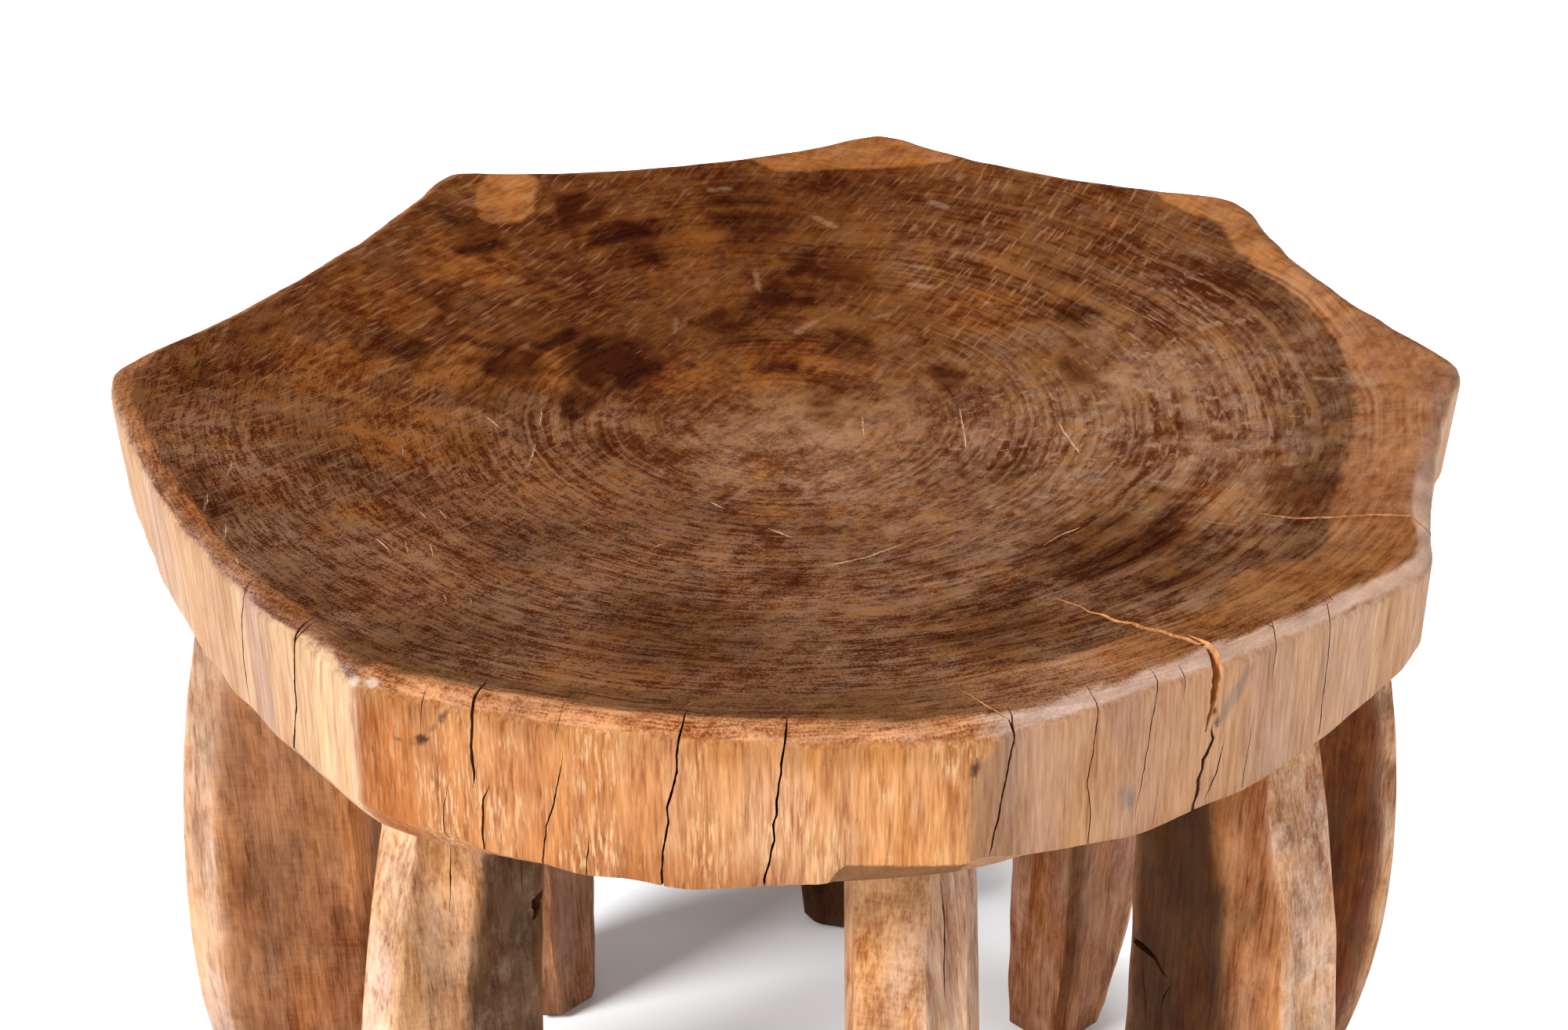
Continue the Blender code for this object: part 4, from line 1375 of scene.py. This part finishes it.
    # Distances for the shader. The end grain stops at a crisp line on the arris, which dips at V8's worn corner
    above = height - (SEAT_TOP - 2.3 * MM) - 1.5 * MM * window(degrees, 229.5, 233, 235, 238.3)
    above[(inset > LAND + 2 * MM) & (height > SEAT_TOP - 28 * MM)] = FIELD_SPAN / 2
    patch_pixel, across, along = PATCH
    off = (points - cast_place(tree, patch_pixel)) / (across * MM, along * MM, 1)
    patched = across * MM * (1 - np.hypot(off[:, 0], off[:, 1])) + 0.8 * MM * waves(*PATCH_RIPPLE)(points)
    to_sap = np.maximum(beyond, patched)
    # How far inside the shaved facet under the front point, which the shader darkens as painted shade
    shaved_shade_field = np.minimum(undercut_height(bearing) - height, (V1_BEARING + 0.6 - degrees) * SHAVED_FALL)
    store(mesh, "fields", 0.5 + np.stack((to_sap / 3, above, shaved_shade_field), axis=1) / FIELD_SPAN)

    # Shares of the marks, and the haze, swing and sheen. The sheen lowers the roughness and evens out the colour of
    # the painted highlight band
    dashed = 0.35 + 0.65 * smooth(0.0, 90 * MM, x) + 0.5 * smooth(10 * MM, 110 * MM, -x)
    dashed *= 1 - 0.5 * smooth(40 * MM, 120 * MM, -y)
    dashed *= (1 - 0.7 * smooth(-2 * MM, 4 * MM, beyond)) * (1 - stained)
    dashed *= 1 - 0.7 * dark_rim
    flecked = front * (0.35 + 0.6 * smooth(241, 246, degrees)) + 0.25 * left + 0.08 * right_front
    lined = left * smooth(-2 * MM, 0.0, beyond) * 0.6
    store(mesh, "marks", np.stack((dashed, flecked, lined), axis=1))
    smudges = [mark_field(points, tree, marks) for marks in (PALE_MARKS, SOOT_MARKS, CHALK_MARKS)]
    store(mesh, "smudges", np.stack(smudges, axis=1))
    dry = smooth(20 * MM, 120 * MM, -y) * (1 - smooth(60 * MM, 130 * MM, x))
    haze = 0.5 - 0.45 * stained - 0.22 * glow + 0.12 * worn_and_sheen + 0.06 * right - 0.16 * back + 0.10 * dry
    swing = 1.05 - 0.4 * right_front - 0.4 * left
    store(mesh, "film", np.stack((haze, swing, 0.75 * band * highlight_side), axis=1))


def store(mesh, name, colours, low=0.0, high=1.0):
    layer = mesh.attributes.new(name, "FLOAT_COLOR", "POINT")
    values = np.concatenate((np.clip(colours, low, high), np.ones((len(colours), 1))), axis=1)
    layer.data.foreach_set("color", values.ravel())


def paint_leg(piece, name, points, tags):
    """Facet colours, blended at the edges, where the wood is worn paler."""
    mesh = piece.data
    now = mesh_points(mesh)
    tree = KDTree(len(points))
    for i, point in enumerate(points):
        tree.insert(point, i)
    tree.balance()
    nearest = np.array([tree.find(point)[1] for point in now])
    facets = tags[nearest, 0].astype(int)
    shares = tags[nearest, 1]
    woods = np.array(LEG_WOODS[name])
    paint = woods[facets]
    to_ahead = 0.5 * smooth(0.88, 1.0, shares)
    to_behind = 0.5 * (1 - smooth(0.0, 0.12, shares))
    ahead = (woods[(facets + 1) % FACETS] - paint) * to_ahead[:, None]
    behind = (woods[facets - 1] - paint) * to_behind[:, None]
    paint = paint + ahead + behind
    if name in LEG_STRIPS:
        facet, *limits = LEG_STRIPS[name]
        paint = coated(paint, (PALE_STRIP, (facets == facet) * smooth(*limits, shares)))
    paint = paint * (1 + 0.14 * waves(*LEG_CLOUDS)(now * (1, 1, 0.5)))[:, None]
    edge = np.exp(-(np.minimum(shares, 1 - shares) / 0.05) ** 2)
    broken = smooth(-0.6, 0.8, waves(*LEG_EDGE_BREAKS)(now))
    paint = paint * (1 + 0.25 * edge * broken)[:, None]
    paint = coated(paint, (WALKED_ON, 0.5 * (1 - smooth(0, 16 * MM, now[:, 2]))))
    store(mesh, "paint", paint, 0.002, 0.9)
    store(mesh, "marks", np.array(LEG_MARKS.get(name, (PLAIN_MARKS,) * FACETS))[facets])


def finish_piece(piece, node):
    piece.data.shade_smooth()
    piece.data.set_sharp_from_angle(angle=math.radians(42))
    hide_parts(node)
    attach(piece, "root")


# Making the pieces

def face_tree(points, faces):
    return BVHTree.FromPolygons([tuple(point) for point in points], faces)


crack_woods = [crack_material(name, colour) for name, colour in CRACK_WOODS.items()]

shape_points, shape_faces = seat_mesh()
seat_tree = face_tree(shape_points, shape_faces)
seat = new_piece("seat_wood_piece", shape_points, shape_faces, seat_material(), *crack_woods)
cut(seat, crack_blades(seat_tree, crack_woods))
paint_seat(seat, seat_tree)
finish_piece(seat, "seat")

for leg_name in LEG_FACINGS:
    leg_points, leg_faces, leg_tags = leg_shape(leg_name)
    inside_woods = crack_woods if leg_name in LEG_CRACKS else ()
    leg = new_piece(leg_name + "_piece", leg_points, leg_faces, leg_material(leg_name), *inside_woods)
    if leg_name in LEG_CRACKS:
        cut(leg, leg_blades(leg_name, face_tree(leg_points, leg_faces), crack_woods))
    paint_leg(leg, leg_name, leg_points, leg_tags)
    finish_piece(leg, leg_name)


# Studio

def make_floor():
    graph = Graph("floor")
    place = graph.place()
    tone = graph.noise(place, 3.0)
    levels = [graph.fitted(tone, 0.02, level) for level in (0.87, 0.90, 0.92)]
    colour = graph.node("CombineColor", *enumerate(levels)).outputs[0]
    material = graph.finish(colour, 0.6, graph.noise(place, 900.0), 0.02, 0.2)
    corners = [(x * FLOOR_HALF, y * FLOOR_HALF, 0) for x, y in ((-1, -1), (1, -1), (1, 1), (-1, 1))]
    floor = new_piece("floor", corners, [(0, 1, 2, 3)], material)
    return floor


def make_light(name, bearing, rise, spread, strength, shadow):
    data = bpy.data.lights.new(name, "SUN")
    data.angle = math.radians(spread)
    data.energy = strength * math.pi
    data.use_shadow = shadow
    light = bpy.data.objects.new(name, data)
    bpy.context.scene.collection.objects.link(light)
    turn, tilt = math.radians(bearing), math.radians(rise)
    way = Vector((math.cos(turn) * math.cos(tilt), math.sin(turn) * math.cos(tilt), math.sin(tilt)))
    light.location = way * 3
    light.rotation_euler = way.to_track_quat("Z", "Y").to_euler()
    return light


def make_studio():
    ground = bpy.data.collections.new("lit_floor")
    ground.objects.link(make_floor())
    for name, (*place, floor_alone) in LIGHTS.items():
        light = make_light(name, *place)
        if floor_alone:
            light.light_linking.receiver_collection = ground
    world = bpy.data.worlds.new("studio")
    world.use_nodes = True
    background = world.node_tree.nodes["Background"]
    background.inputs["Color"].default_value = (1, 1, 1, 1)
    background.inputs["Strength"].default_value = SKY_STRENGTH
    bpy.context.scene.world = world
    bpy.context.scene.view_settings.view_transform = "Standard"


def make_camera():
    data = bpy.data.cameras.new("camera")
    data.sensor_width = SENSOR_WIDTH
    data.lens = LENS
    data.clip_start = 0.05
    camera = bpy.data.objects.new("camera", data)
    camera.location = CAMERA_PLACE
    camera.rotation_euler = CAMERA_TURN
    bpy.context.scene.collection.objects.link(camera)
    bpy.context.scene.camera = camera


make_studio()
make_camera()

bpy.context.view_layer.update()
